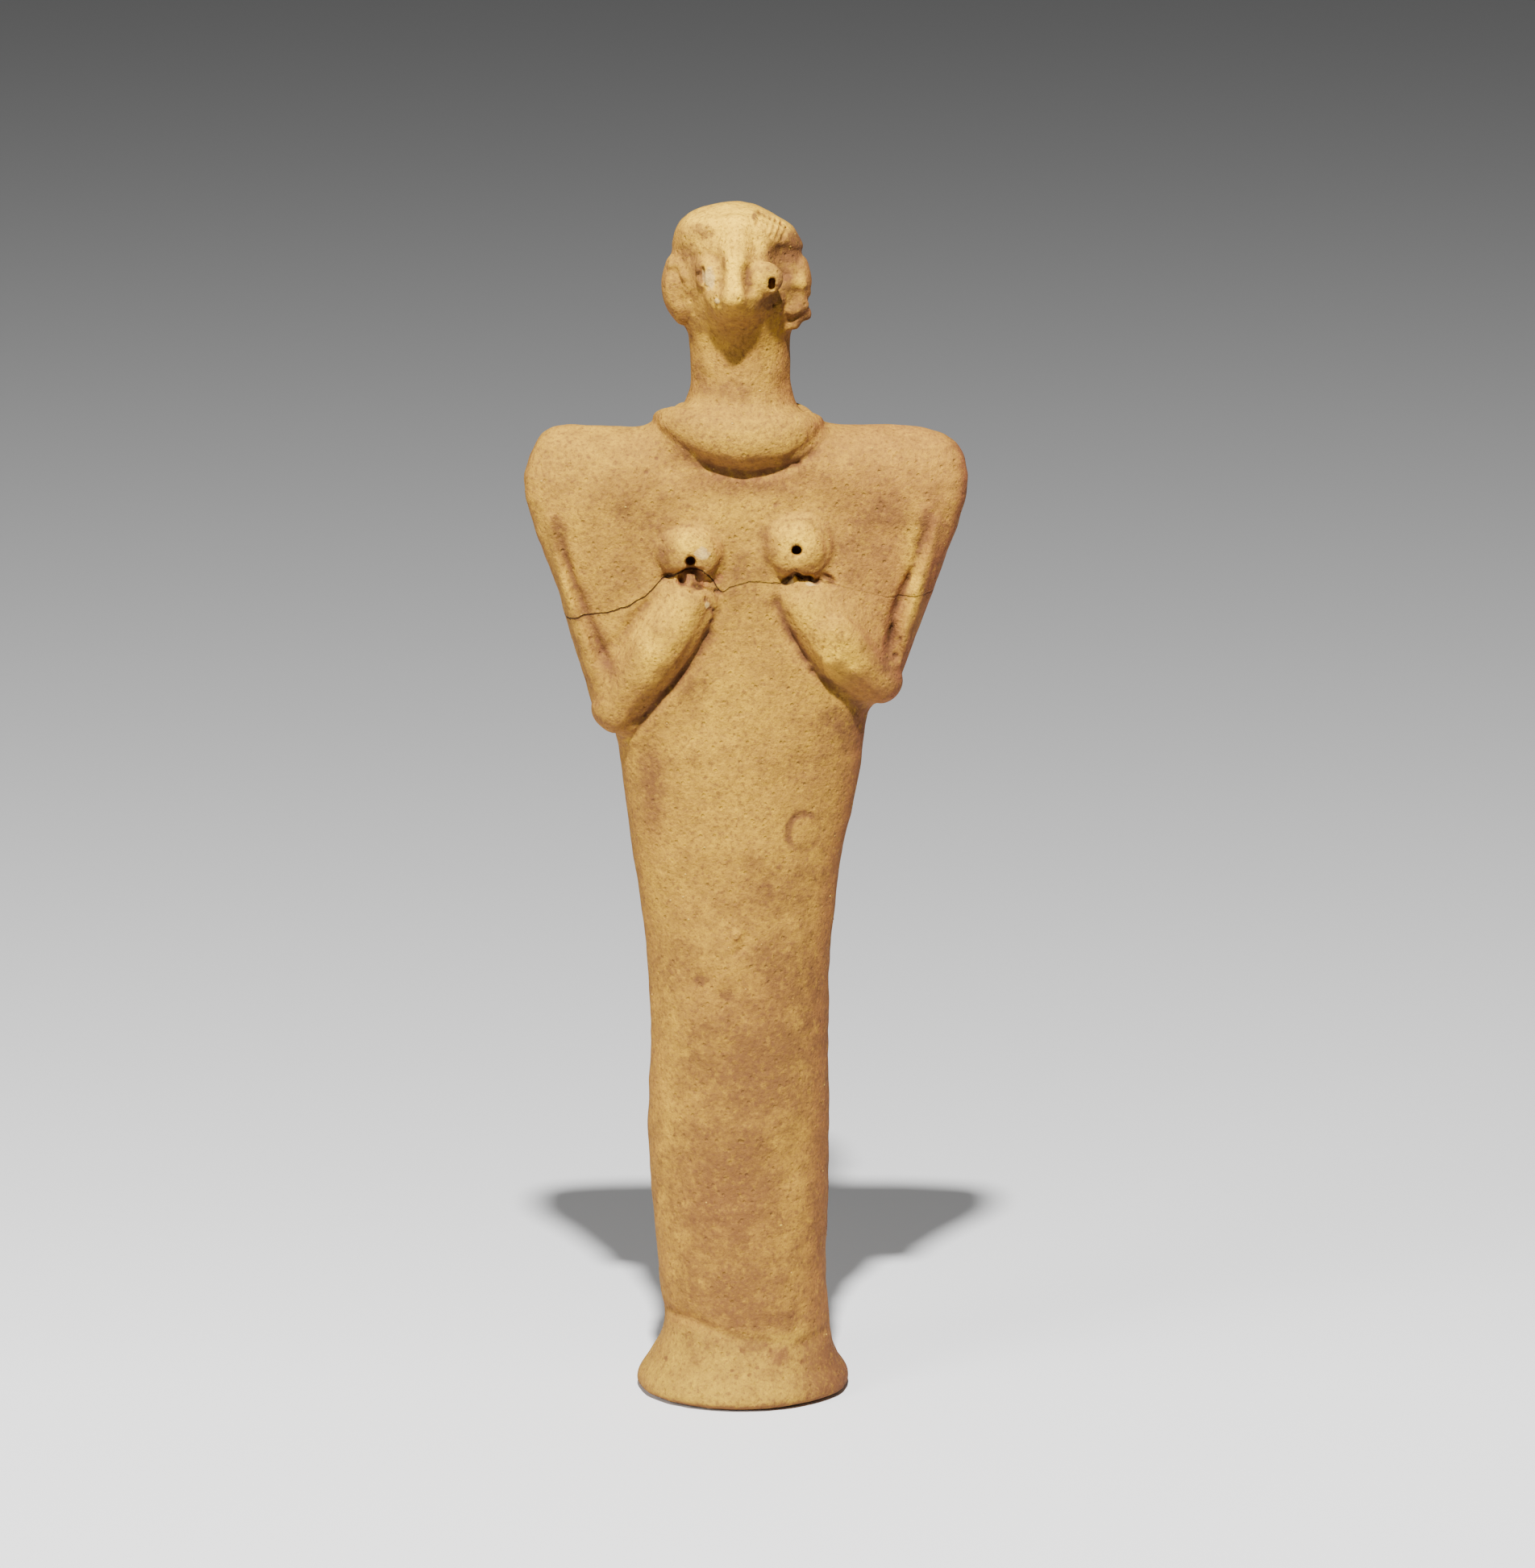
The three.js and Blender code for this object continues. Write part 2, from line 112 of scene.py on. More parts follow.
# Shallow dents left by fingers: x, z, reach and depth.
DENTS = [
    (-5.3, 57.9, 1.6, 0.2), (-1.9, 56, 1.3, 0.18), (6, 68, 4, 0.15), (-7, 44, 4, 0.18), (4, 33, 5, 0.2),
    (-13, 117, 5, 0.25), (16, 118, 5, 0.3), (0.5, 119, 4, 0.2), (0, 104, 5, 0.2), (-5, 20, 4, 0.18),
    (12, 104.5, 2.5, 0.25),
]
# Broad hollows on the back: x, z, reach and depth.
BACK_DENTS = [(0, 110, 9, 0.5), (0, 80, 5, 0.3), (-8, 122, 6, 0.3), (9, 121, 6, 0.3), (1, 40, 5, 0.25)]
# Soft brown spots: x, z, reach across, reach up and strength. Most are the clay's own stains. Those under the
# cap, beside the nose, in the left eye's slit, under the right eye, on the right ear and under the collar are
# painted shade.
STAIN_AND_SHADE_SPOTS = [
    (-13, 121, 5, 4, 0.4), (-15, 114, 3.5, 6, 0.35), (17.5, 121, 5, 4.5, 0.5), (16, 115, 4, 4, 0.45),
    (-11, 117, 2.5, 4, 0.45), (-2, 30, 8, 13, 0.75), (1.5, 46, 9, 10, 0.8), (0, 15, 9, 8, 0.7),
    (6, 58, 6, 8, 0.6), (3, 70, 7, 6, 0.5), (-11.5, 84, 2, 9, 0.6), (-9, 60, 3, 6, 0.45),
    (-8, 128.5, 2.5, 2.5, 0.5), (1, 124.5, 8, 1.8, 0.5), (-5, 157, 1.6, 1.1, 0.8),
    (-7, 153.8, 1.2, 1.6, 0.7), (-6, 152.2, 0.9, 1.2, 0.6), (-2.2, 153, 0.4, 1.4, 0.6),
    (0.9, 151.6, 0.5, 2, 0.9), (6.4, 154.2, 2, 1.7, 1.3), (5.6, 151, 1, 1.4, 1.1),
    (8, 145.8, 1.6, 1.6, 0.7), (3.6, 148.2, 2.2, 0.9, 0.8), (-0.4, 136, 3, 1.4, 0.3),
    (-4.5, 137, 1.5, 1.5, 0.4), (22, 110, 1.6, 9, 0.25), (-22, 108, 1.2, 8, 0.2),
    (-5.2, 151.7, 0.5, 1.3, 1.4), (0, 88, 6, 3, 0.35), (13, 92, 4, 4, 0.6), (-7, 97, 2, 4, 0.5),
    (2, 11.5, 9, 2.2, 0.85), (4.9, 6.6, 1.6, 1.2, 0.7), (0, 112, 3, 5, 0.4), (-10, 115.5, 1.4, 3, 0.65),
    (3.2, 116, 1.2, 3, 0.6), (-5.3, 57.9, 1.1, 0.7, 1.3), (-1.9, 56, 0.9, 0.6, 1.3),
    (9, 85, 5, 5, 0.35), (10, 30, 3, 24, 0.4), (12, 4, 4, 5, 0.9),
]
# Ruddy places: x, z, reach across, reach up and strength. Those on the lower body, at the break and at the
# left eye are the clay's own redder tone. Those on the neck under the beak, under the cap's right end, by the
# right eye, on the right ear's lobe and under the collar are painted shade.
RUDDY_AND_SHADE_SPOTS = [
    (6.4, 154.2, 2.2, 1.9, 0.95), (5.7, 150.8, 1, 1.7, 0.7), (-0.5, 143, 4.6, 3.4, 0.8),
    (5.2, 145, 2.4, 3, 0.7), (-5.7, 152, 0.8, 1.2, 0.6), (8, 146.4, 1.6, 2.2, 0.5),
    (1, 124.8, 8, 1.6, 0.8), (-2, 27, 6, 5, 0.45), (12, 34, 3, 14, 0.6), (3, 55, 6, 4, 0.35),
    (4.9, 6.6, 1.5, 1, 0.6), (12.5, 4, 3.5, 4.5, 0.2), (-12, 83, 1.6, 7, 0.5), (-6, 113, 4, 1, 0.6),
]
# Pale places: x, z, reach across, reach up and strength. Most are painted light that makes the head top,
# forehead, nose, breast tops, forearms and shoulders paler where the key light falls. A few are the clay's
# own paler patches.
PALE_AND_LIT_SPOTS = [
    (-1, 158, 8, 3.4, 1.1), (-0.8, 153, 1.7, 6, 1.5), (-1.2, 148.2, 3.6, 1.9, 0.9),
    (-4.1, 151.5, 1.6, 2.3, 0.75), (2.8, 151.5, 1.8, 2, 0.6), (-8, 152.6, 1.3, 1.2, 0.2),
    (7.3, 150.2, 1.4, 0.8, 0.6), (22, 127.5, 8, 4, 0.15), (0, 131, 8, 2.2, 0.12),
    (-4, 143, 1.5, 3, 0.5), (4, 143, 1.5, 3, 0.4), (-1, 120.5, 4, 3.5, 0.25),
    (7.2, 117.2, 3, 2.5, 0.75), (-6.6, 116.8, 2.6, 1.8, 0.7), (-11.5, 103, 2.2, 4.5, 0.5),
    (-8, 107.5, 2, 3, 0.5), (12.5, 101, 3.5, 5, 1), (22.6, 112, 1.4, 8, 0.9), (-22.4, 110, 1.4, 8, 0.4),
    (8, 107.5, 3, 3, 0.5), (-4, 2.5, 7, 3, 0.15), (-3, 91, 7, 9, 0.2), (-10.5, 38, 2, 30, 0.2),
    (0, 77, 6, 5, 0.15), (16, 96, 3, 3, 0.4),
]
# Whitish lime and fill: x, z, reach across, reach up and strength.
LIMED = [
    (-5.1, 115.5, 1.4, 1, 0.95), (6.4, 111.4, 0.7, 0.5, 0.85), (9.3, 111.3, 1.1, 0.45, 0.9),
    (-4.1, 151.4, 1.2, 2.2, 0.8), (-3.1, 148.7, 0.4, 0.4, 1.2), (-4.4, 108.6, 0.6, 0.8, 0.7),
]


# The unevenness of hand-worked clay: width of the lumps, share of the full depth and random seed.
LUMPS = [(11, 1.0, 3), (5, 0.55, 4), (2.2, 0.3, 5), (1.1, 0.24, 6)]
# How far from the middle of the body the front half fades into the back half.
HALF_FADE = 1.5
# Marks may be stronger than 1 but are stored between 0 and 1, so the stains with their painted shade and the
# paleness with its painted light are stored at this share.
STORED_SHARE = 0.7


def settings():
    """The sidebar's values."""
    scene = bpy.context.scene
    return scene.idol_form, scene.idol_finish, scene.idol_grit, scene.idol_stage


class IdolForm(PropertyGroup):
    """How finely the clay is worked, and how deep its marks go."""

    pitch: FloatProperty(
        name="Grid pitch", description="Spacing of the grid that the clay is worked on",
        default=0.25 * MM, min=0.15 * MM, precision=5, unit="LENGTH", subtype="DISTANCE")
    triangles: IntProperty(
        name="Triangles", description="Most triangles that the finished clay surface may have",
        default=190000, min=20000, max=199000)
    unevenness: FloatProperty(
        name="Unevenness", description="Depth of the broad finger-made hollows in the clay",
        default=0.13 * MM, precision=5, unit="LENGTH", subtype="DISTANCE")
    groove_depth: FloatProperty(
        name="Groove depth", description="Depth of the pressed lines round arms and collar",
        default=0.32 * MM, precision=5, unit="LENGTH", subtype="DISTANCE")
    groove_width: FloatProperty(
        name="Groove width", description="Half the width of the pressed lines",
        default=0.6 * MM, precision=5, unit="LENGTH", subtype="DISTANCE")
    breast_hole: FloatProperty(
        name="Breast hole", description="Width of the holes pricked in the breasts",
        default=1.6 * MM, precision=5, unit="LENGTH", subtype="DISTANCE")
    crack_width: FloatProperty(
        name="Crack width", description="Half the width of the hairline crack across the chest",
        default=0.11 * MM, precision=5, unit="LENGTH", subtype="DISTANCE")


class IdolFinish(PropertyGroup):
    """The colours of the fired clay and of what has settled on it, also used for painted light and shade."""

    buff: FloatVectorProperty(
        name="Buff", description="Main colour of the fired clay", subtype="COLOR",
        default=(0.395, 0.21, 0.024), min=0, max=1)
    # Pale buff: the clay's lighter colour, also used for the painted light on the parts that face the lamp.
    pale: FloatVectorProperty(
        name="Pale buff", description="Lighter worn parts of the clay", subtype="COLOR",
        default=(0.95, 0.57, 0.02), min=0, max=1)
    # Ruddy: the clay's redder tone, also used for painted shade on undersides, on sides turned from the light
    # and at the shaded places listed.
    ruddy_and_shade: FloatVectorProperty(
        name="Ruddy", description="Redder fired parts on the right side and at the edges", subtype="COLOR",
        default=(0.29, 0.1, 0.036), min=0, max=1)
    # Stain: the brown of the stains, also used for painted shade in hollows, under overhangs and along the
    # grooves.
    stain: FloatVectorProperty(
        name="Stain", description="Brown speckled staining", subtype="COLOR",
        default=(0.145, 0.057, 0.022), min=0, max=1)
    # Dirt: the dark colour of the crack, and of the deepest hollows, where it is partly dirt and partly
    # painted shade.
    dirt_and_shade: FloatVectorProperty(
        name="Dirt", description="Dark dirt in grooves and cracks", subtype="COLOR",
        default=(0.04, 0.014, 0.005), min=0, max=1)
    olive: FloatVectorProperty(
        name="Olive buff", description="Greener clay of the foot", subtype="COLOR",
        default=(0.415, 0.255, 0.022), min=0, max=1)
    fresh: FloatVectorProperty(
        name="Fresh break", description="Clay laid bare by the break under the breast", subtype="COLOR",
        default=(0.3, 0.115, 0.034), min=0, max=1)
    lime: FloatVectorProperty(
        name="Lime", description="Whitish fill and lime on the clay", subtype="COLOR",
        default=(0.68, 0.46, 0.15), min=0, max=1)


class IdolGrit(PropertyGroup):
    """The mineral grains that show in the clay."""

    density: FloatProperty(
        name="Density", description="Grains on each square metre of clay",
        default=9000, min=0)
    grain: FloatProperty(
        name="Grain size", description="Width of the largest grains",
        default=0.4 * MM, precision=5, unit="LENGTH", subtype="DISTANCE")
    seed: IntProperty(name="Seed", description="Which scatter of the grains is used", default=7)


class IdolStage(PropertyGroup):
    """The floor, painted darker towards the back as the light falls off, the lights and the camera."""

    floor_near: FloatVectorProperty(
        name="Floor", description="Colour of the floor round the idol", subtype="COLOR",
        default=(0.80, 0.80, 0.80), min=0, max=1)
    # Far floor: painted fall-off of the key light, darker far behind the idol.
    floor_far: FloatVectorProperty(
        name="Far floor", description="Colour of the floor far behind the idol", subtype="COLOR",
        default=(0.33, 0.33, 0.33), min=0, max=1)
    floor_front: FloatProperty(
        name="Floor front", description="How far the floor reaches in front of the idol",
        default=110 * MM, min=0, unit="LENGTH", subtype="DISTANCE")
    key_power: FloatProperty(name="Key", description="Power of the main light in watts", default=31, min=0)
    key_place: FloatVectorProperty(
        name="Key place", description="Where the main light hangs, over the front",
        default=(-14 * MM, -552 * MM, 877 * MM), unit="LENGTH", subtype="XYZ")
    key_width: FloatProperty(
        name="Key width", description="Width of the main light, which softens its shadow",
        default=45 * MM, unit="LENGTH", subtype="DISTANCE")
    side_power: FloatProperty(
        name="Side light", description="Power of the soft light at the left, in watts", default=7, min=0)
    side_place: FloatVectorProperty(
        name="Side place", description="Where the soft light at the left stands",
        default=(-760 * MM, -620 * MM, 480 * MM), unit="LENGTH", subtype="XYZ")
    fill: FloatProperty(
        name="Fill", description="Strength of the light from all round", default=0.135, min=0)
    distance: FloatProperty(
        name="Camera distance", description="How far the camera is from the point it aims at",
        default=950 * MM, unit="LENGTH", subtype="DISTANCE")
    elevation: FloatProperty(
        name="Camera height", description="Height of the camera above the horizon",
        default=math.radians(12.5), unit="ROTATION", subtype="ANGLE")
    lens: FloatProperty(
        name="Lens", description="Focal length of the camera in millimetres", default=165.05, min=1)


class Clay:
    """The idol as a grid of distances in millimetres, minus inside the clay and plus outside it."""

    BAND = 3.5

    def __init__(self, node, pitch):
        points, triangles = welded(node)
        grid = openvdb.FloatGrid.createLevelSetFromPolygons(
            points, triangles=triangles, transform=openvdb.createLinearTransform(voxelSize=pitch),
            halfWidth=self.BAND / pitch)
        low, high = grid.evalActiveVoxelBoundingBox()
        self.pitch = pitch
        self.first = np.array(low) - 2
        self.field = np.empty(np.array(high) - np.array(low) + 5, np.float32)
        grid.copyToArray(self.field, ijk=tuple(int(i) for i in self.first))

    def window(self, low, high):
        """The part of the grid between two corners, and the x, y and z of its places."""
        start = np.floor(np.array(low) / self.pitch).astype(int) - self.first
        stop = np.ceil(np.array(high) / self.pitch).astype(int) - self.first + 1
        start = np.clip(start, 0, self.field.shape)
        stop = np.clip(stop, 0, self.field.shape)
        spans = [(np.arange(a, b) + f) * self.pitch for a, b, f in zip(start, stop, self.first)]
        x, y, z = np.meshgrid(*[s.astype(np.float32) for s in spans], indexing="ij", sparse=True)
        return tuple(slice(a, b) for a, b in zip(start, stop)), x, y, z

    def everywhere(self):
        return self.window((-99, -99, -99), (99, 99, 999))

    def add(self, shape, low, high, softness):
        """Presses on more clay, with a soft joint."""
        part, x, y, z = self.window(low, high)
        self.field[part] = soft_least(self.field[part], shape(x, y, z), softness)

    def carve(self, shape, low, high, softness):
        """Takes clay away, with a soft edge."""
        part, x, y, z = self.window(low, high)
        self.field[part] = -soft_least(-self.field[part], shape(x, y, z), softness)

    def press(self, line, width, depth, roughness=0, lump=0.9, seed=1, fade=0):
        """Draws a blunt tool along a line of places on the front, and may fade at both ends."""
        places = np.array(line, float)
        reach = 3 * width
        low = (places[:, 0].min() - reach, -99, places[:, 1].min() - reach)
        high = (places[:, 0].max() + reach, 99, places[:, 1].max() + reach)
        part, x, y, z = self.window(low, high)
        near = np.exp(-((off_line(x, z, places) / width) ** 2))
        amount = depth * near * front_half(y)
        if fade:
            for end in (places[0], places[-1]):
                amount = amount * step(np.hypot(x - end[0], z - end[1]), 0, fade)
        if roughness:
            amount = amount * np.clip(1 + roughness * cloud(amount.shape, self.pitch, lump, seed), 0, 2)
        self.field[part] += amount

    def blurred(self, width):
        """A softened copy of the grid."""
        return blur(self.field, width / self.pitch)

    def fill(self, width, low, high, share=1.0):
        """Smears clay into the sharp hollows between two corners."""
        part, x, y, z = self.window(low, high)
        piece = self.field[part]
        inside = 1
        for place, start, stop in zip((x, y, z), low, high):
            inside = inside * step(place, start, start + 1.5) * step(place, stop, stop - 1.5)
        self.field[part] = piece + share * inside * np.minimum(blur(piece, width / self.pitch) - piece, 0)

    def skin(self, x, z):
        """The y of the clay's surface behind a place, as seen from the front."""
        i, k = (int(round(v / self.pitch)) - self.first[a] for v, a in ((x, 0), (z, 2)))
        column = self.field[i, :, k]
        inside = np.flatnonzero(column < 0)
        if not len(inside):
            raise ValueError(f"there is no clay at {x}, {z}")
        return (inside[0] + self.first[1]) * self.pitch

    def lay_roll(self, line, radius, sunk, softness):
        """Lays a thin roll of clay on the surface along a line of places."""
        spots = [(x, self.skin(x, z) + sunk, z) for x, z in line]
        reach = radius + softness + 1
        for a, b in zip(spots[:-1], spots[1:]):
            low, high = np.minimum(a, b) - reach, np.maximum(a, b) + reach
            self.add(rod(a, b, radius), low, high, softness)

    def pit(self, x, z, width):
        """Picks a small rough pit out of the surface."""
        centre = (x, self.skin(x, z), z)
        radii = (width * 0.5, width * 0.4, width * 0.42)
        reach = width + 1
        self.carve(ball(centre, radii), np.array(centre) - reach, np.array(centre) + reach, 0.25)

    def dent(self, x, z, reach, depth, front=True):
        """Presses a shallow finger dent."""
        edge = 3 * reach
        part, xs, ys, zs = self.window((x - edge, -99, z - edge), (x + edge, 99, z + edge))
        near = np.exp(-((xs - x) ** 2 + (zs - z) ** 2) / reach**2)
        self.field[part] += depth * near * front_half(ys if front else -ys)

    def surface(self):
        """The clay's surface as corners and faces, with the faces outwards."""
        grid = openvdb.FloatGrid(self.BAND)
        grid.copyFromArray(self.field, ijk=tuple(int(i) for i in self.first))
        grid.transform = openvdb.createLinearTransform(voxelSize=self.pitch)
        points, quads = grid.convertToQuads(isovalue=0)
        a, b, c, d = (points[quads[:, i]].astype(float) for i in range(4))
        volume = (np.cross(a, b) * c).sum() + (np.cross(a, c) * d).sum()
        return points, quads if volume > 0 else quads[:, ::-1]

    def at(self, grid, points):
        """Reads a grid's values at points between its places."""
        place = points / self.pitch - self.first
        low = np.clip(np.floor(place).astype(int), 0, np.array(grid.shape) - 2)
        share = np.clip(place - low, 0, 1)
        total = np.zeros(len(points))
        for corner in np.ndindex(2, 2, 2):
            weight = np.prod([s if c else 1 - s for s, c in zip(share.T, corner)], axis=0)
            total += weight * grid[tuple((low + corner).T)]
        return total


def welded(node):
    """The solid's corners in millimetres and its triangles, with shared corners joined."""
    mesh = bmesh.new()
    mesh.from_mesh(node.data)
    bmesh.ops.remove_doubles(mesh, verts=mesh.verts, dist=1e-7)
    bmesh.ops.triangulate(mesh, faces=mesh.faces)
    mesh.verts.index_update()
    points = np.array([v.co for v in mesh.verts], np.float32) / MM
    triangles = np.array([[v.index for v in f.verts] for f in mesh.faces], np.uint32)
    mesh.free()
    return points, triangles


def step(value, low, high):
    """Rises softly from 0 at low to 1 at high; high may be below low."""
    t = np.clip((value - low) / (high - low), 0, 1)
    return t * t * (3 - 2 * t)


def front_half(y):
    """1 on the front half of the body and 0 on the back half."""
    return step(y, HALF_FADE, -HALF_FADE)


def ring_scar(x, z, width, least):
    """How strongly each place is on the ring-shaped scar, which is fainter at its lower right."""
    middle_x, middle_z, half_width, half_height = RING_SCAR
    radial = np.sqrt(((x - middle_x) / half_width) ** 2 + ((z - middle_z) / half_height) ** 2)
    away = (radial - 1) * (half_width + half_height) / 2
    upper_left = step(z - x, 68.5, 71.5)
    return np.exp(-((away / width) ** 2)) * (least + (1 - least) * upper_left)


def soft_least(a, b, softness):
    """The lesser of two distances, rounded where they are close."""
    near = np.maximum(softness - np.abs(a - b), 0) / softness
    return np.minimum(a, b) - near * near * softness / 4


def ball(centre, radii):
    """The shape of an egg with three radii."""
    def shape(x, y, z):
        parts = [(v - c) / r for v, c, r in zip((x, y, z), centre, radii)]
        return (np.sqrt(sum(p * p for p in parts)) - 1) * min(radii)
    return shape


def rod(start, end, radius, end_radius=None):
    """The shape of a round-ended rod between two points."""
    start, end = np.array(start, float), np.array(end, float)
    last = radius if end_radius is None else end_radius

    def shape(x, y, z):
        run = end - start
        t = sum((v - s) * r for v, s, r in zip((x, y, z), start, run)) / (run @ run)
        t = np.clip(t, 0, 1)
        gap = sum((v - s - t * r) ** 2 for v, s, r in zip((x, y, z), start, run))
        return np.sqrt(gap) - (radius + (last - radius) * t)
    return shape


def off_line(x, z, places):
    """How far each place is from a line of places, as seen from the front."""
    least = None
    for (ax, az), (bx, bz) in zip(places[:-1], places[1:]):
        run = np.array([bx - ax, bz - az])
        t = np.clip(((x - ax) * run[0] + (z - az) * run[1]) / (run @ run), 0, 1)
        gap = (x - ax - t * run[0]) ** 2 + (z - az - t * run[1]) ** 2
        least = gap if least is None else np.minimum(least, gap)
    return np.sqrt(least)


def cloud(shape, pitch, lump, seed):
    """Soft random unevenness over a grid, about 1 high, with lumps of a given width in millimetres."""
    weights = []
    for count in shape:
        place = np.arange(count) * pitch / lump
        cell = place.astype(int)
        t = place - cell
        weight = np.zeros((count, cell[-1] + 4), np.float32)
        curve = [(1 - t) ** 3, 3 * t**3 - 6 * t**2 + 4, 3 * (t - t**3 + t**2) + 1, t**3]
        for offset, share in enumerate(curve):
            weight[np.arange(count), cell + offset] = share / 6
        weights.append(weight)
    rng = np.random.default_rng(seed)
    made = rng.standard_normal([w.shape[1] for w in weights]).astype(np.float32)
    for weight in weights:
        made = np.tensordot(made, weight, axes=(0, 1))
    return made / 0.35


def blur(field, width):
    """A copy of a grid softened over a width in grid steps."""
    reach = int(2.6 * width + 0.5)
    weights = np.exp(-0.5 * (np.arange(-reach, reach + 1) / width) ** 2)
    weights = (weights / weights.sum()).astype(np.float32)
    for axis in range(3):
        edge = [(reach, reach) if i == axis else (0, 0) for i in range(3)]
        padded = np.pad(field, edge, mode="edge")
        count = field.shape[axis]
        made = np.zeros_like(field)
        for i, weight in enumerate(weights):
            part = [slice(None)] * 3
            part[axis] = slice(i, i + count)
            made += weight * padded[tuple(part)]
        field = made
    return field


def smooth_by_hand(clay):
    """Turns the solid's flat facets into rounded clay, and keeps its joints and rims."""
    light = clay.blurred(0.4)
    for width, keep in ((1.6, 0.24), (1.6, 0.2)):
        strong = blur(light, width / clay.pitch)
        change = strong - light
        light = light + change * np.exp(-((change / keep) ** 2))
    clay.field = light


def make_uneven(clay, depth):
    """Adds the broad hollows and small dents that hands leave."""
    shape = clay.field.shape
    for lump, share, seed in LUMPS:
        clay.field += depth * share * cloud(shape, clay.pitch, lump, seed)
    for x, z, reach, hollow in DENTS:
        clay.dent(x, z, reach, hollow)
    for x, z, reach, hollow in BACK_DENTS:
        clay.dent(x, z, reach, hollow, front=False)


def smear_joints(clay):
    """Closes the sharp joints where rolls and pellets were smeared on to the body."""
    clay.fill(1.3, (-14, -12, 129), (14, 9, 140))
    clay.fill(1.6, (-16, -8, 128), (-7, 8, 138))
    clay.fill(0.9, (-20, -14, 98), (-8, 2, 118), 0.4)
    clay.fill(1.8, (8, -14, 98), (26, 2, 124), 0.9)
    clay.fill(0.8, (-12, -13, 145), (12, 6, 159), 0.75)
    clay.fill(0.9, (-12, -12, 112), (12, 2, 121), 0.15)
    clay.fill(1.8, (-16, -14, 124), (-4, 0, 134))
    clay.fill(1.3, (-9, -14, 122), (11, 0, 129), 0.25)
    clay.fill(1.2, (-27, -14, 98), (-16, 2, 122), 0.6)


def work_arms(clay, width, depth):
    """Presses the lines round the arms and under the collar."""
    clay.press(LEFT_ARM_GROOVE, width * 0.8, depth * 1.4, roughness=0.3, lump=2, seed=11, fade=4)
    clay.press(RIGHT_ARM_GROOVE, width, depth * 1.1, roughness=0.3, lump=2, seed=12, fade=4)
    clay.press(RIGHT_ARM_GROOVE[2:], width * 1.1, depth * 0.6, roughness=0.6, lump=0.8, seed=16, fade=3)
    clay.press(LEFT_FOREARM_EDGE, width * 1.5, depth * 1.2, roughness=0.25, lump=1.5, seed=13)
    clay.press(RIGHT_FOREARM_EDGE, width * 1.5, depth * 1.2, roughness=0.3, lump=1.5, seed=14)
    clay.press(COLLAR_EDGE, width * 1.6, depth * 0.35, roughness=0.3, lump=1.5, seed=15, fade=4)
    left_forearm_top = [(-19.2, 100.4), (-15.5, 104.6), (-12.6, 108.4)]
    clay.press(left_forearm_top, width, depth * 0.7, roughness=0.2, lump=1.5, seed=17)
    clay.lay_roll([(12.2, 105.4), (13, 104.6)], 1.5, 1.1, 1.4)


def work_face(clay):
    """Shapes the nose, the beak and the eyes."""
    clay.lay_roll([(-0.7, 157.6), (-0.7, 155.6), (-0.6, 153.6)], 1.3, 1.05, 1.6)
    clay.lay_roll([(-3.4, 149), (-0.9, 149.2), (1.6, 149.1)], 0.8, 0.9, 1.4)
    clay.press([(0.8, 152.7), (0.8, 151.6), (1.1, 150)], 0.55, 0.26)
    clay.press([(-2.4, 152.8), (-2.4, 151.8), (-2.7, 150.6)], 0.7, 0.2)
    clay.press([(-6.3, 153.6), (-4.4, 154.5), (-2.9, 153.9)], 0.6, 0.22)
    eye = clay.skin(2.8, 151.2)
    clay.add(ball((3.0, eye + 0.9, 151.4), (2.5, 1.4, 2.2)), (-1, eye - 3, 147), (7, eye + 4, 155), 0.4)
    slit, slit_foot = clay.skin(-4.9, 152.4) + 0.25, clay.skin(-5, 150.9) + 0.25
    cut = rod((-5, slit_foot, 150.9), (-4.9, slit, 152.4), 0.42)
    clay.carve(cut, (-7, slit - 3, 149), (-3, slit + 3, 155), 0.2)
    hole = clay.skin(3.9, 150.9)
    for level in (150.6, 151.3):
        pierced = rod((4.1, hole - 1.5, level), (3.9, hole + 1.3, level - 0.2), 0.48)
        clay.carve(pierced, (2, hole - 3, 149), (6, hole + 3, 153), 0.2)


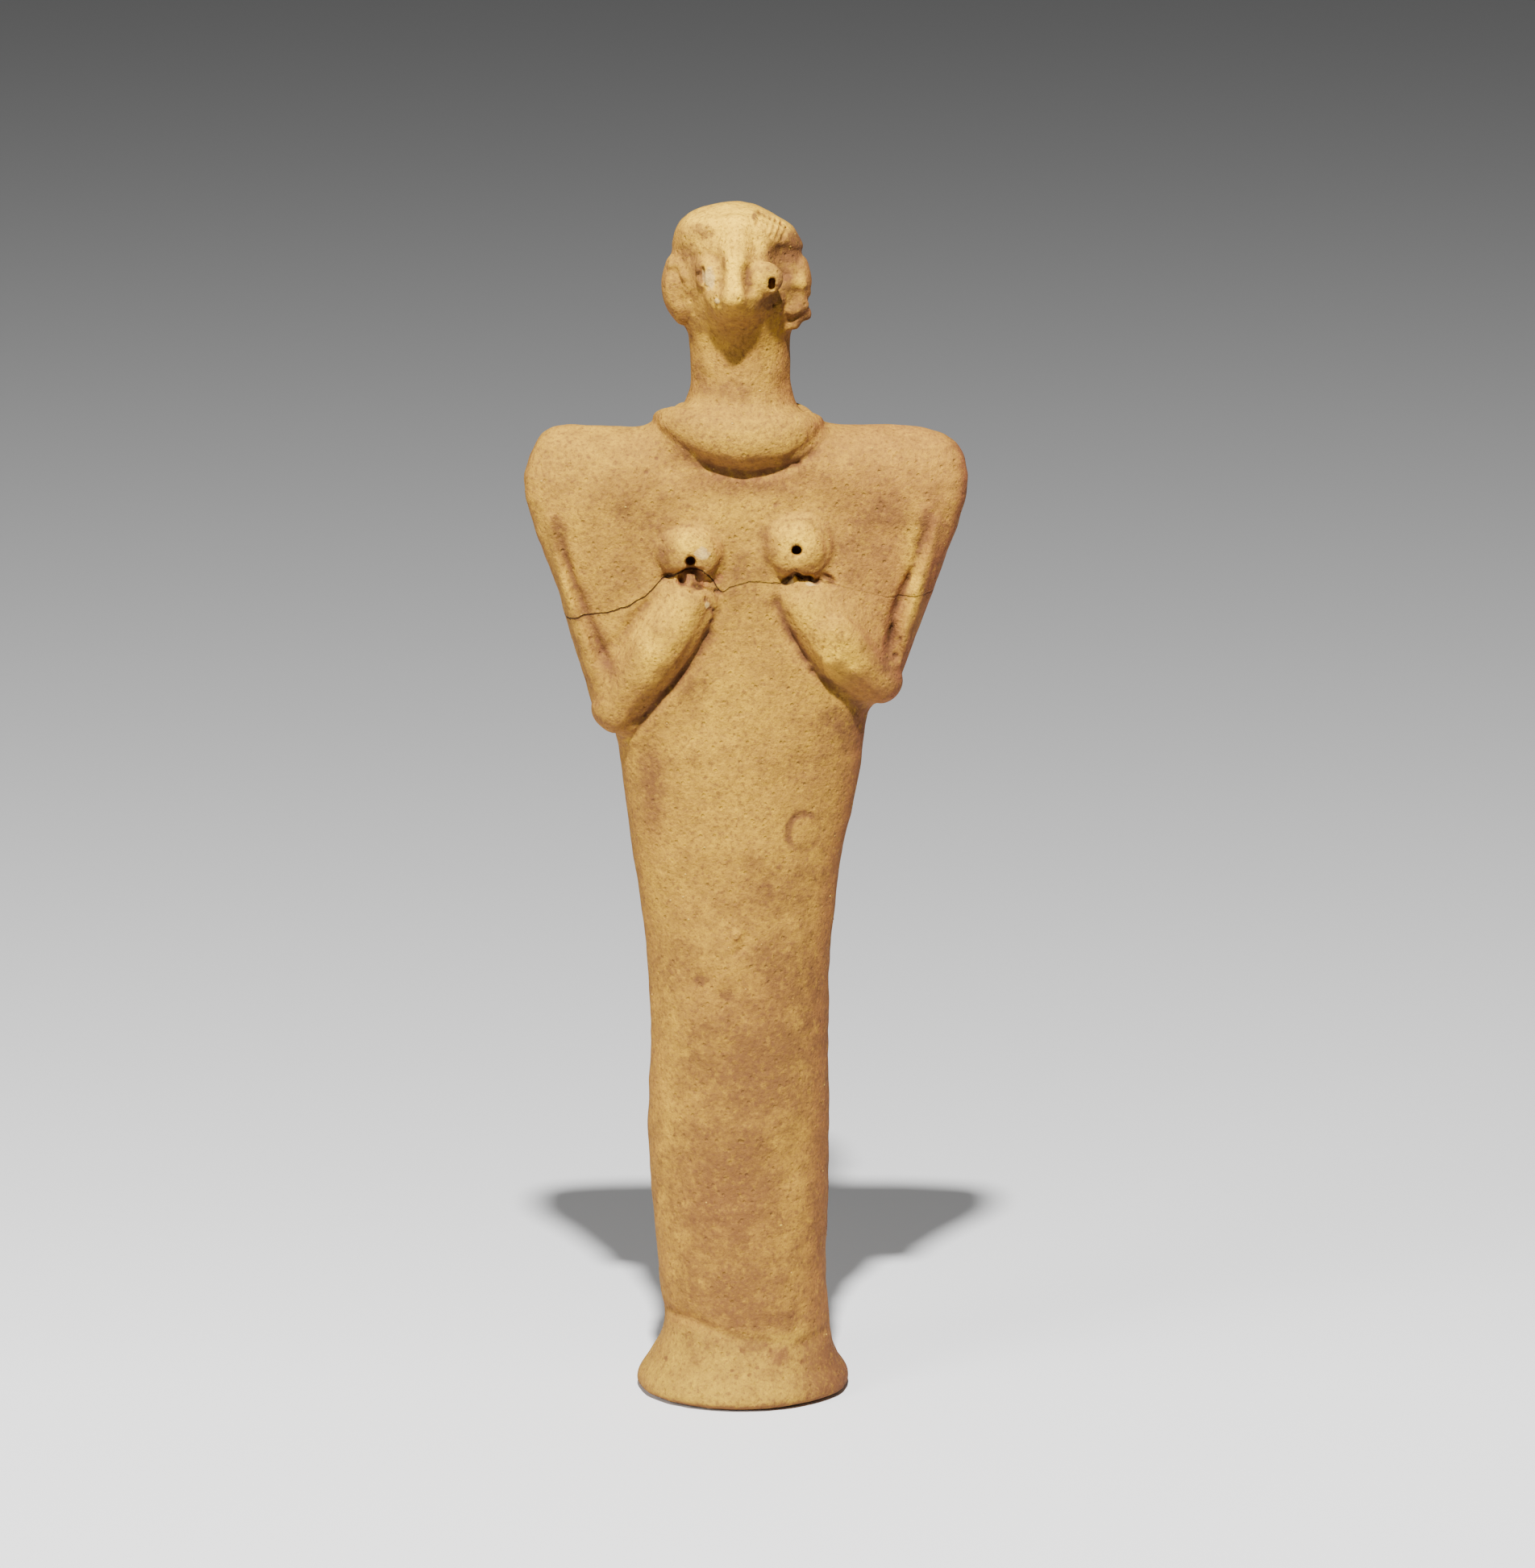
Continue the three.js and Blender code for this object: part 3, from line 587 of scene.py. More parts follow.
def work_ears_and_hair(clay):
    """Shapes the ears and the hollow under the cap, and draws the strokes in the hair."""
    clay.lay_roll([(-9, 152.2), (-8, 152.5), (-7.3, 151), (-6.7, 149.2)], 0.55, 0.15, 0.5)
    clay.press([(-7.5, 150.4), (-6.5, 148.6), (-6.1, 146.4)], 0.4, 0.22)
    clay.press([(-8.7, 151.4), (-8.5, 149.4), (-7.8, 147.6)], 0.7, 0.3)
    clay.carve(ball((6.5, -6.3, 153.9), (2.2, 2.1, 1.6)), (2, -10, 149), (11, 0, 158), 1.4)
    clay.carve(ball((5.6, -6.4, 151.4), (1.0, 1.7, 1.5)), (3, -9, 148), (9, -2, 155), 1.0)
    clay.lay_roll([(5.4, 149.9), (6.6, 150.1), (7.8, 149.8)], 0.75, 0.4, 0.7)
    clay.press([(7.2, 148.5), (8.2, 148.4), (9, 149)], 0.5, 0.16, roughness=0.3, seed=21)
    lobe = clay.skin(7.9, 147.9) + 0.9
    clay.add(ball((6.9, lobe, 146.2), (1.5, 1.2, 1.6)), (4, lobe - 4, 142), (11, lobe + 4, 150), 1.2)
    part, x, y, z = clay.window((4.5, -7, 143), (10, 3, 148.6))
    crumbled = cloud(clay.field[part].shape, clay.pitch, 0.75, 22)
    clay.field[part] += 0.24 * crumbled * step(z, 148.6, 147.6) * step(z, 143, 144) * step(x, 4.5, 5.5)
    clay.fill(1.5, (4, -9, 142.5), (11, 4, 149.5), 0.8)
    for start, end in HAIR_STROKES:
        clay.press([start, end], 0.28, 0.42, roughness=0.3, seed=23)
    bead = ball((-3.1, clay.skin(-3.1, 148.7), 148.7), (0.4, 0.35, 0.4))
    clay.add(bead, (-5, -16, 147), (-1, 0, 150), 0.1)
    clay.pit(4.2, 147.6, 0.8)


def work_breasts(clay, hole_width):
    """Raises the breasts, breaks the left one's lower edge, chips the right one and clears the holes."""
    for x, z, half_width, half_height in BREASTS:
        part, xs, ys, zs = clay.window((x - 7, -99, z - 7), (x + 7, 99, z + 7))
        radial = np.hypot((xs - x) / half_width, (zs - z) / half_height)
        clay.field[part] -= 0.45 * step(radial, 1.08, 0.9) * front_half(ys)
    y = clay.skin(-5.6, 112.4)
    part, xs, ys, zs = clay.window((-11, y - 3, 109), (0, y + 4, 115))
    rough = 0.34 * cloud(clay.field[part].shape, clay.pitch, 0.8, 31)
    bite = ball((-5.7, y - 0.2, 111.9), (3.5, 1.1, 1.2))(xs, ys, zs) + rough
    clay.field[part] = -soft_least(-clay.field[part], bite, 0.2)
    clay.press(CHIPS, 0.38, 0.75, roughness=0.5, lump=0.7, seed=32)
    clay.press([(-10.2, 111.9), (-7.1, 113.2), (-5, 113.3)], 0.35, 0.45, roughness=0.4, seed=33)
    clay.press([(-6.3, 110.9), (-4.6, 110.4), (-2.6, 109.9)], 0.28, 0.28, roughness=0.4, seed=34)
    nipple = clay.skin(-5.2, 115.3)
    part, xs, ys, zs = clay.window((-8, nipple - 2, 113), (-2.5, nipple + 2, 118))
    patch = ball((-5.2, nipple + 0.35, 115.3), (1.4, 0.55, 1.15))(xs, ys, zs)
    patch = patch + 0.12 * cloud(patch.shape, clay.pitch, 0.8, 35)
    clay.field[part] = soft_least(clay.field[part], patch, 0.15)
    for x, z in PRICKED_HOLES:
        y = clay.skin(x + 1.4, z) + 0.2
        hole = rod((x, y - 3, z), (x, y + 1.6, z), hole_width / 2, 0.8 * hole_width / 2)
        clay.carve(hole, (x - 3, y - 5, z - 3), (x + 3, y + 4, z + 3), 0.2)


def work_body(clay, width, depth):
    """Marks the navel, the ring-shaped scar on the belly and the foot."""
    clay.press(FOOT_LINE, width * 1.4, depth, roughness=0.3, lump=2, seed=41)
    part, x, y, z = clay.window((4, -99, 74), (13, 99, 83))
    clay.field[part] += 0.17 * ring_scar(x, z, 0.32, 0.6) * front_half(y)
    clay.press([(0.5, 64.2), (0.2, 62.6), (-0.9, 61.8)], 0.45, 0.22)
    part, x, y, z = clay.window((-99, -99, -1), (99, 99, 3))
    radial = np.sqrt((x / 14.05) ** 2 + (y / 13.3) ** 2)
    clay.field[part] += 0.5 * step(radial, 0.86, 0.99) * step(z, 0.9, 0.1)


def keep_in_box(clay):
    """Keeps the clay inside the solid's own box, and its underside flat."""
    part, x, y, z = clay.everywhere()
    low, high = (np.array(corner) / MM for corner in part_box(IDOL_NODE))
    walls = [low[0] - x, x - high[0], low[1] - y, y - high[1], low[2] - z, z - high[2]]
    for wall in walls:
        np.maximum(clay.field, wall, out=clay.field)


def new_mesh(name, points, faces):
    """A mesh in metres from corners in millimetres."""
    mesh = bpy.data.meshes.new(name)
    mesh.from_pydata((points * MM).tolist(), [], faces.tolist())
    return mesh


def thinned(mesh, most):
    """The mesh with fewer triangles where it is flat, as a plain mesh."""
    holder = bpy.data.objects.new("thinning", mesh)
    bpy.context.scene.collection.objects.link(holder)
    thin = holder.modifiers.new("Thin", "DECIMATE")
    thin.ratio = min(1.0, most / (2 * len(mesh.polygons)))
    thin.use_collapse_triangulate = True
    made = bpy.data.meshes.new_from_object(holder.evaluated_get(bpy.context.evaluated_depsgraph_get()))
    bpy.data.objects.remove(holder)
    bpy.data.meshes.remove(mesh)
    return made


def drop_crumbs(mesh):
    """Leaves only the largest joined part of the mesh."""
    work = bmesh.new()
    work.from_mesh(mesh)
    work.verts.ensure_lookup_table()
    group = np.full(len(work.verts), -1)
    sizes = []
    for vert in work.verts:
        if group[vert.index] >= 0:
            continue
        number, stack, size = len(sizes), [vert], 0
        group[vert.index] = number
        while stack:
            here = stack.pop()
            size += 1
            for edge in here.link_edges:
                other = edge.other_vert(here)
                if group[other.index] < 0:
                    group[other.index] = number
                    stack.append(other)
        sizes.append(size)
    keep = int(np.argmax(sizes))
    loose = [v for v in work.verts if group[v.index] != keep]
    bmesh.ops.delete(work, geom=loose, context="VERTS")
    work.to_mesh(mesh)
    work.free()


def store(mesh, name, values):
    """Writes one number for each corner of the mesh."""
    attribute = mesh.attributes.new(name, "FLOAT", "POINT")
    attribute.data.foreach_set("value", np.clip(values, 0, 1).astype(np.float32))


def spread(x, z, spots):
    """How strongly soft round spots cover each place."""
    total = 0
    for cx, cz, across, up, strength in spots:
        total = np.maximum(total, strength * np.exp(-(((x - cx) / across) ** 2) - ((z - cz) / up) ** 2))
    return total


def paint_marks(mesh, clay):
    """Stores where the clay is hollow, its stains with painted shade, its paleness with painted light, its
    ruddy tone with painted shade, and where it is freshly broken or limed.
    """
    count = len(mesh.vertices)
    places = np.empty(count * 3, np.float32)
    mesh.vertices.foreach_get("co", places)
    places = places.reshape(-1, 3) / MM
    x, y, z = places.T
    # How hollow the clay is at each corner; the hollows get dirt colour and painted shade.
    hollow = -clay.at(clay.blurred(0.7), places)
    store(mesh, "hollow", 0.5 + hollow / 0.8)
    facing = step(y, 3, -3)
    # Brown stains, with painted shade at the recesses and overhangs listed with them.
    stain_and_shade_mark = spread(x, z, STAIN_AND_SHADE_SPOTS)
    # Ruddy spots, with painted shade under the beak, the cap and the collar.
    ruddy_and_shade = spread(x, z, RUDDY_AND_SHADE_SPOTS)
    # Darker, ruddier bands along the arm grooves, the forearms' lower edges and the collar's lower edge:
    # partly dirt in the grooves, partly painted shade under the forearms and the collar.
    for line in (LEFT_ARM_GROOVE, RIGHT_ARM_GROOVE, LEFT_FOREARM_EDGE, RIGHT_FOREARM_EDGE, COLLAR_EDGE):
        near = off_line(x, z, np.array(line, float))
        stain_and_shade_mark = np.maximum(stain_and_shade_mark, 0.6 * np.exp(-((near / 0.9) ** 2)))
        ruddy_and_shade = np.maximum(ruddy_and_shade, 0.4 * np.exp(-((near / 1.4) ** 2)))
    stain_and_shade_mark = np.maximum(stain_and_shade_mark, 1.1 * ring_scar(x, z, 0.5, 0.35) * facing)
    # Darker along the bottom edge of the foot.
    stain_and_shade_mark = np.maximum(stain_and_shade_mark, 0.9 * step(z, 1.6, 0.4))
    spots = [(px, pz, 0.6 * wide, 0.5 * wide, 1.4) for px, pz, wide in PITS]
    stain_and_shade_mark = np.maximum(stain_and_shade_mark, spread(x, z, spots) * facing)
    # Stored: the stains together with their painted shade.
    store(mesh, "stain_and_shade_mark", stain_and_shade_mark * (0.5 + 0.5 * facing) * STORED_SHARE)
    normals = np.empty(count * 3, np.float32)
    mesh.vertices.foreach_get("normal", normals)
    sideways, upwards = normals[::3], normals[2::3]
    # Painted shade: faces turned to either side and faces turned down are made ruddier, like the shaded
    # flanks and the shade under the beak, the collar and the forearms.
    side_and_underside_shade = step(sideways, 0.45, 0.95) + 0.6 * step(sideways, -0.6, -0.98)
    store(mesh, "ruddy_and_shade", np.maximum(side_and_underside_shade + 0.9 * step(upwards, -0.1, -0.6), ruddy_and_shade * facing))
    # Painted light: paler spots where the key light falls on the head, breasts, forearms and shoulders.
    store(mesh, "pale_and_lit", spread(x, z, PALE_AND_LIT_SPOTS) * (0.4 + 0.6 * facing) * STORED_SHARE)
    front = step(y, -5.5, -6.5)
    broken = step(((x + 5.6) / 3.3) ** 2 + ((z - 111.9) / 1.25) ** 2, 1.25, 0.75) * front
    store(mesh, "broken", broken)
    store(mesh, "limed", spread(x, z, LIMED) * front)


class Tree:
    """Adds shader or geometry nodes and joins them."""

    def __init__(self, tree):
        self.tree = tree
        tree.nodes.clear()

    def node(self, kind, values=None, **traits):
        made = self.tree.nodes.new(kind)
        for name, value in traits.items():
            setattr(made, name, value)
        for name, value in (values or {}).items():
            self.put(made.inputs[name], value)
        return made

    def put(self, socket, value):
        if isinstance(value, bpy.types.NodeSocket):
            self.tree.links.new(value, socket)
        else:
            socket.default_value = (*value, 1.0) if socket.type == "RGBA" else value

    def sum(self, kind, a, b=0.0, clamp=False):
        made = self.node("ShaderNodeMath", operation=kind, use_clamp=clamp)
        self.put(made.inputs[0], a)
        self.put(made.inputs[1], b)
        return made.outputs[0]

    def plus(self, a, b, clamp=False):
        return self.sum("ADD", a, b, clamp)

    def times(self, a, b):
        return self.sum("MULTIPLY", a, b)

    def ramp(self, value, low, high, start=0.0, end=1.0):
        made = self.node("ShaderNodeMapRange", interpolation_type="SMOOTHSTEP")
        names = ("Value", "From Min", "From Max", "To Min", "To Max")
        for name, item in zip(names, (value, low, high, start, end)):
            self.put(made.inputs[name], item)
        return made.outputs["Result"]

    def blend(self, share, a, b, kind="MIX"):
        made = self.node("ShaderNodeMix", data_type="RGBA", blend_type=kind)
        self.put(made.inputs[0], share)
        self.put(made.inputs[6], a)
        self.put(made.inputs[7], b)
        return made.outputs[2]

    def noise(self, place, size, detail=3.0, roughness=0.55):
        """Noise with features about `size` millimetres wide."""
        values = {"Vector": place, "Scale": 1 / (size * MM), "Detail": detail, "Roughness": roughness}
        return self.node("ShaderNodeTexNoise", values).outputs["Fac"]

    def surface(self, values):
        """Ends a material in a plain surface."""
        shader = self.node("ShaderNodeBsdfPrincipled", values)
        self.node("ShaderNodeOutputMaterial", {"Surface": shader.outputs["BSDF"]})

    def mark(self, name):
        return self.node("ShaderNodeAttribute", attribute_name=name).outputs["Fac"]


def new_material(name):
    """A material, its empty tree and the places on the object that it goes by."""
    material = bpy.data.materials.new(name)
    material.use_nodes = True
    tree = Tree(material.node_tree)
    return material, tree, tree.node("ShaderNodeTexCoord").outputs["Object"]


def along_crack(tree, across):
    """The crack's height in metres at a place across the idol."""
    low, high, bottom, top = -25, 25, 100, 120
    curve = tree.node("ShaderNodeFloatCurve")
    points = curve.mapping.curves[0].points
    spots = [((x - low) / (high - low), (z - bottom) / (top - bottom)) for x, z in CRACK]
    points[0].location, points[-1].location = spots[0], spots[-1]
    for spot in spots[1:-1]:
        points.new(*spot)
    for point in points:
        point.handle_type = "VECTOR"
    curve.mapping.update()
    share = tree.node("ShaderNodeMapRange", {
        "Value": across, "From Min": low * MM, "From Max": high * MM}).outputs["Result"]
    tree.put(curve.inputs["Value"], share)
    return tree.node("ShaderNodeMapRange", {
        "Value": curve.outputs["Value"], "To Min": bottom * MM, "To Max": top * MM}).outputs["Result"]


def clay_material(finish, crack_width):
    """Buff fired clay with brown specks, dirt and painted shade in its hollows, painted light where the key
    light falls, painted shade on undersides and in shaded places, and a fine gritty grain.
    """
    material, tree, place = new_material("fired clay")
    parts = tree.node("ShaderNodeSeparateXYZ", {"Vector": place})
    across, up = parts.outputs["X"], parts.outputs["Z"]
    hollow, ruddy_and_shade, broken, limed = (tree.mark(n) for n in ("hollow", "ruddy_and_shade", "broken", "limed"))
    # The stains carry painted shade, and the paleness carries painted light.
    stain_and_shade_mark, pale_and_lit = (tree.sum("DIVIDE", tree.mark(n), STORED_SHARE) for n in ("stain_and_shade_mark", "pale_and_lit"))

    broad = tree.noise(place, 9, 3)
    medium = tree.noise(place, 2.6, 4, 0.62)
    fine = tree.noise(place, 0.7, 4, 0.65)
    grain = tree.noise(place, 0.25, 2, 0.6)
    crumb = tree.noise(place, 0.95, 3, 0.7)

    # The clay itself: paler by random tone and by painted light where the key light falls, redder at the
    # right, ruddier with painted shade on undersides and on sides turned from the light, and greener in the
    # foot.
    uneven = tree.plus(tree.times(broad, 0.5), tree.times(fine, 0.5))
    paleness = tree.times(tree.plus(uneven, 0.5), pale_and_lit)
    paleness = tree.plus(paleness, tree.ramp(uneven, 0.42, 0.62, 0, 0.22), clamp=True)
    base = tree.blend(paleness, finish.buff, finish.pale)
    redness = tree.ramp(tree.plus(across, tree.times(broad, 0.012)), 0.009, 0.028, 0, 0.42)
    redness = tree.times(redness, tree.sum("SUBTRACT", 1.0, pale_and_lit, clamp=True))
    redness = tree.plus(redness, tree.times(ruddy_and_shade, 0.65), clamp=True)
    base = tree.blend(tree.ramp(up, 8.5 * MM, 11 * MM, 0.85, 0), base, finish.olive)
    base = tree.blend(redness, base, finish.ruddy_and_shade)

    # Brown blotches and freckles, thicker on the stains and on the painted shade.
    speck = tree.plus(tree.times(medium, 0.45), tree.times(fine, 0.55))
    speck = tree.plus(speck, tree.times(broad, 0.3))
    speck = tree.plus(speck, tree.times(stain_and_shade_mark, 0.3))
    base = tree.blend(tree.ramp(speck, 0.62, 0.88, 0, 0.8), base, finish.stain)
    freckle = tree.noise(place, 0.5, 3, 0.7)
    freckle = tree.plus(freckle, tree.times(stain_and_shade_mark, 0.05))
    base = tree.blend(tree.ramp(freckle, 0.52, 0.66, 0, 0.62), base, finish.stain)

    # The bared clay of the break, and the lime on it.
    bared = tree.blend(tree.ramp(fine, 0.4, 0.62, 0, 0.7), finish.fresh, finish.buff)
    bared = tree.blend(tree.ramp(medium, 0.45, 0.62, 0, 0.55), bared, finish.stain)
    base = tree.blend(tree.ramp(broken, 0.3, 0.7), base, bared)
    lime = tree.plus(limed, tree.times(tree.plus(medium, fine), 0.55))
    lime = tree.ramp(lime, 0.98, 1.2, 0, 0.8)
    base = tree.blend(lime, base, finish.lime)

    # Dirt and painted shade in the hollows, and the grain of the clay.
    hollow_dirt_and_shade = tree.ramp(tree.plus(hollow, tree.times(fine, 0.25)), 0.70, 0.98, 0, 0.8)
    base = tree.blend(hollow_dirt_and_shade, base, finish.stain)
    base = tree.blend(tree.ramp(hollow, 0.85, 1.0, 0, 0.7), base, finish.dirt_and_shade)
    base = tree.blend(tree.ramp(fine, 0.33, 0.6, 0.36, 0.0), base, finish.stain)
    base = tree.blend(tree.ramp(crumb, 0.5, 0.75, 0.0, 0.16), base, finish.pale)
    base = tree.blend(tree.ramp(grain, 0.35, 0.65, 0.15, 0.0), base, finish.stain, "MULTIPLY")

    # The hairline crack, strongest at the left.
    wander = tree.times(tree.sum("SUBTRACT", medium, 0.5), 0.9 * MM)
    gap = tree.sum("SUBTRACT", tree.plus(up, wander), along_crack(tree, across))
    gap = tree.sum("ABSOLUTE", gap)
    cracked = tree.ramp(gap, crack_width * 0.4, crack_width * 1.6, 1, 0)
    strength = tree.ramp(across, -3.5 * MM, -1.5 * MM, 0.9, 0.5)
    strength = tree.times(strength, tree.ramp(across, 11.5 * MM, 13 * MM, 1, 0.2))
    strength = tree.plus(strength, tree.ramp(across, 18 * MM, 20 * MM, 0, 0.3))
    cracked = tree.times(cracked, strength)
    base = tree.blend(cracked, base, finish.dirt_and_shade)

    height = tree.plus(tree.times(medium, 0.7), tree.times(fine, 0.8))
    height = tree.plus(height, tree.times(grain, 0.12))
    pores = tree.node("ShaderNodeTexVoronoi", {"Vector": place, "Scale": 1 / (1.3 * MM)})
    height = tree.plus(height, tree.ramp(pores.outputs["Distance"], 0.08, 0.24, -0.35, 0))
    height = tree.sum("SUBTRACT", height, cracked)
    bump = tree.node("ShaderNodeBump", {"Height": height, "Strength": 0.95, "Distance": 0.32 * MM})
    rough = tree.ramp(fine, 0.3, 0.7, 0.78, 0.95)
    tree.surface({
        "Base Color": base, "Roughness": rough, "Normal": bump.outputs["Normal"], "IOR": 1.45,
        "Specular IOR Level": 0.18})
    return material


def grit_material(finish):
    """Mineral grains, each a little different from the clay."""
    material, tree, place = new_material("mineral grit")
    tone = tree.noise(place, 3, 1)
    base = tree.blend(tree.ramp(tone, 0.35, 0.65), finish.buff, finish.olive)
    tree.surface({"Base Color": base, "Roughness": 0.6})
    return material


def grit_tree(material):
    """Scatters small flattened grains over a surface, sunk into it."""
    group = bpy.data.node_groups.new("Grit scatter", "GeometryNodeTree")
    face = group.interface
    face.new_socket("Surface", in_out="INPUT", socket_type="NodeSocketGeometry")
    for name, kind in (("Density", "Float"), ("Grain size", "Float"), ("Seed", "Int")):
        face.new_socket(name, in_out="INPUT", socket_type="NodeSocket" + kind)
    face.new_socket("Grains", in_out="OUTPUT", socket_type="NodeSocketGeometry")
    tree = Tree(group)
    given = tree.node("NodeGroupInput").outputs
    normal = tree.node("GeometryNodeInputNormal").outputs["Normal"]
    facing = tree.node("ShaderNodeSeparateXYZ", {"Vector": normal})
    upwards = tree.node("FunctionNodeCompare", operation="GREATER_THAN")
    tree.put(upwards.inputs[0], facing.outputs["Z"])
    tree.put(upwards.inputs[1], -0.6)
    spots = tree.node("GeometryNodeDistributePointsOnFaces", {
        "Mesh": given["Surface"], "Density": given["Density"], "Seed": given["Seed"],
        "Selection": upwards.outputs["Result"]})
    grain = tree.node("GeometryNodeMeshIcoSphere", {"Radius": 0.5, "Subdivisions": 2})
    size = tree.node("FunctionNodeRandomValue", data_type="FLOAT")
    tree.put(size.inputs[2], 0.35)
    tree.put(size.inputs[3], 1.0)
    tree.put(size.inputs["Seed"], given["Seed"])
    width = tree.times(size.outputs[1], given["Grain size"])
    form = tree.node("ShaderNodeCombineXYZ", {"X": width, "Y": tree.times(width, 0.8)})
    tree.put(form.inputs["Z"], tree.times(width, 0.45))
    placed = tree.node("GeometryNodeInstanceOnPoints", {
        "Points": spots.outputs["Points"], "Instance": grain.outputs["Mesh"],
        "Rotation": spots.outputs["Rotation"], "Scale": form.outputs["Vector"]})
    real = tree.node("GeometryNodeRealizeInstances", {"Geometry": placed.outputs["Instances"]})
    dressed = tree.node("GeometryNodeSetMaterial", {
        "Geometry": real.outputs["Geometry"], "Material": material})
    tree.node("NodeGroupOutput", {"Grains": dressed.outputs["Geometry"]})
    return group


class IDOL_OT_model_clay(Operator):
    """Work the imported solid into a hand-modelled clay surface"""

    bl_idname = "idol.model_clay"
    bl_label = "Model the clay"

    def execute(self, context):
        form, finish, _, _ = settings()
        pitch = form.pitch / MM * 1
        clay = Clay(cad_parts[IDOL_NODE], pitch)
        smooth_by_hand(clay)
        smear_joints(clay)
        make_uneven(clay, form.unevenness / MM)
        work_arms(clay, form.groove_width / MM, form.groove_depth / MM)
        work_face(clay)
        work_ears_and_hair(clay)
        work_breasts(clay, form.breast_hole / MM)
        work_body(clay, form.groove_width / MM, form.groove_depth / MM)
        for x, z, width in PITS:
            clay.pit(x, z, width)
        clay.field = clay.blurred(0.12)
        keep_in_box(clay)
        points, faces = clay.surface()
        mesh = thinned(new_mesh("idol clay", points, faces), form.triangles)
        drop_crumbs(mesh)
        paint_marks(mesh, clay)
        for face in mesh.polygons:
            face.use_smooth = True
        mesh.materials.clear()
        mesh.materials.append(clay_material(finish, form.crack_width))
        piece = bpy.data.objects.new("idol_clay", mesh)
        context.scene.collection.objects.link(piece)
        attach(piece, IDOL_BODY)
        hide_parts(IDOL_NODE)
        return {"FINISHED"}


class IDOL_OT_scatter_grit(Operator):
    """Scatter mineral grains over the clay"""

    bl_idname = "idol.scatter_grit"
    bl_label = "Scatter the grit"

    def execute(self, context):
        _, finish, grit, _ = settings()
        clay = bpy.data.objects["idol_clay"]
        holder = bpy.data.objects.new("grit holder", clay.data)
        context.scene.collection.objects.link(holder)
        group = grit_tree(grit_material(finish))
        scatter = holder.modifiers.new("Grit", "NODES")
        scatter.node_group = group
        values = {"Density": grit.density, "Grain size": grit.grain, "Seed": grit.seed}
        for item in group.interface.items_tree:
            if item.in_out == "INPUT" and item.name in values:
                scatter[item.identifier] = values[item.name]
        mesh = bpy.data.meshes.new_from_object(holder.evaluated_get(context.evaluated_depsgraph_get()))
        bpy.data.objects.remove(holder)
        if not mesh.polygons:
            raise RuntimeError("no grain was made")
        for face in mesh.polygons:
            face.use_smooth = True
        piece = bpy.data.objects.new("idol_grit", mesh)
        context.scene.collection.objects.link(piece)
        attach(piece, IDOL_BODY)
        return {"FINISHED"}


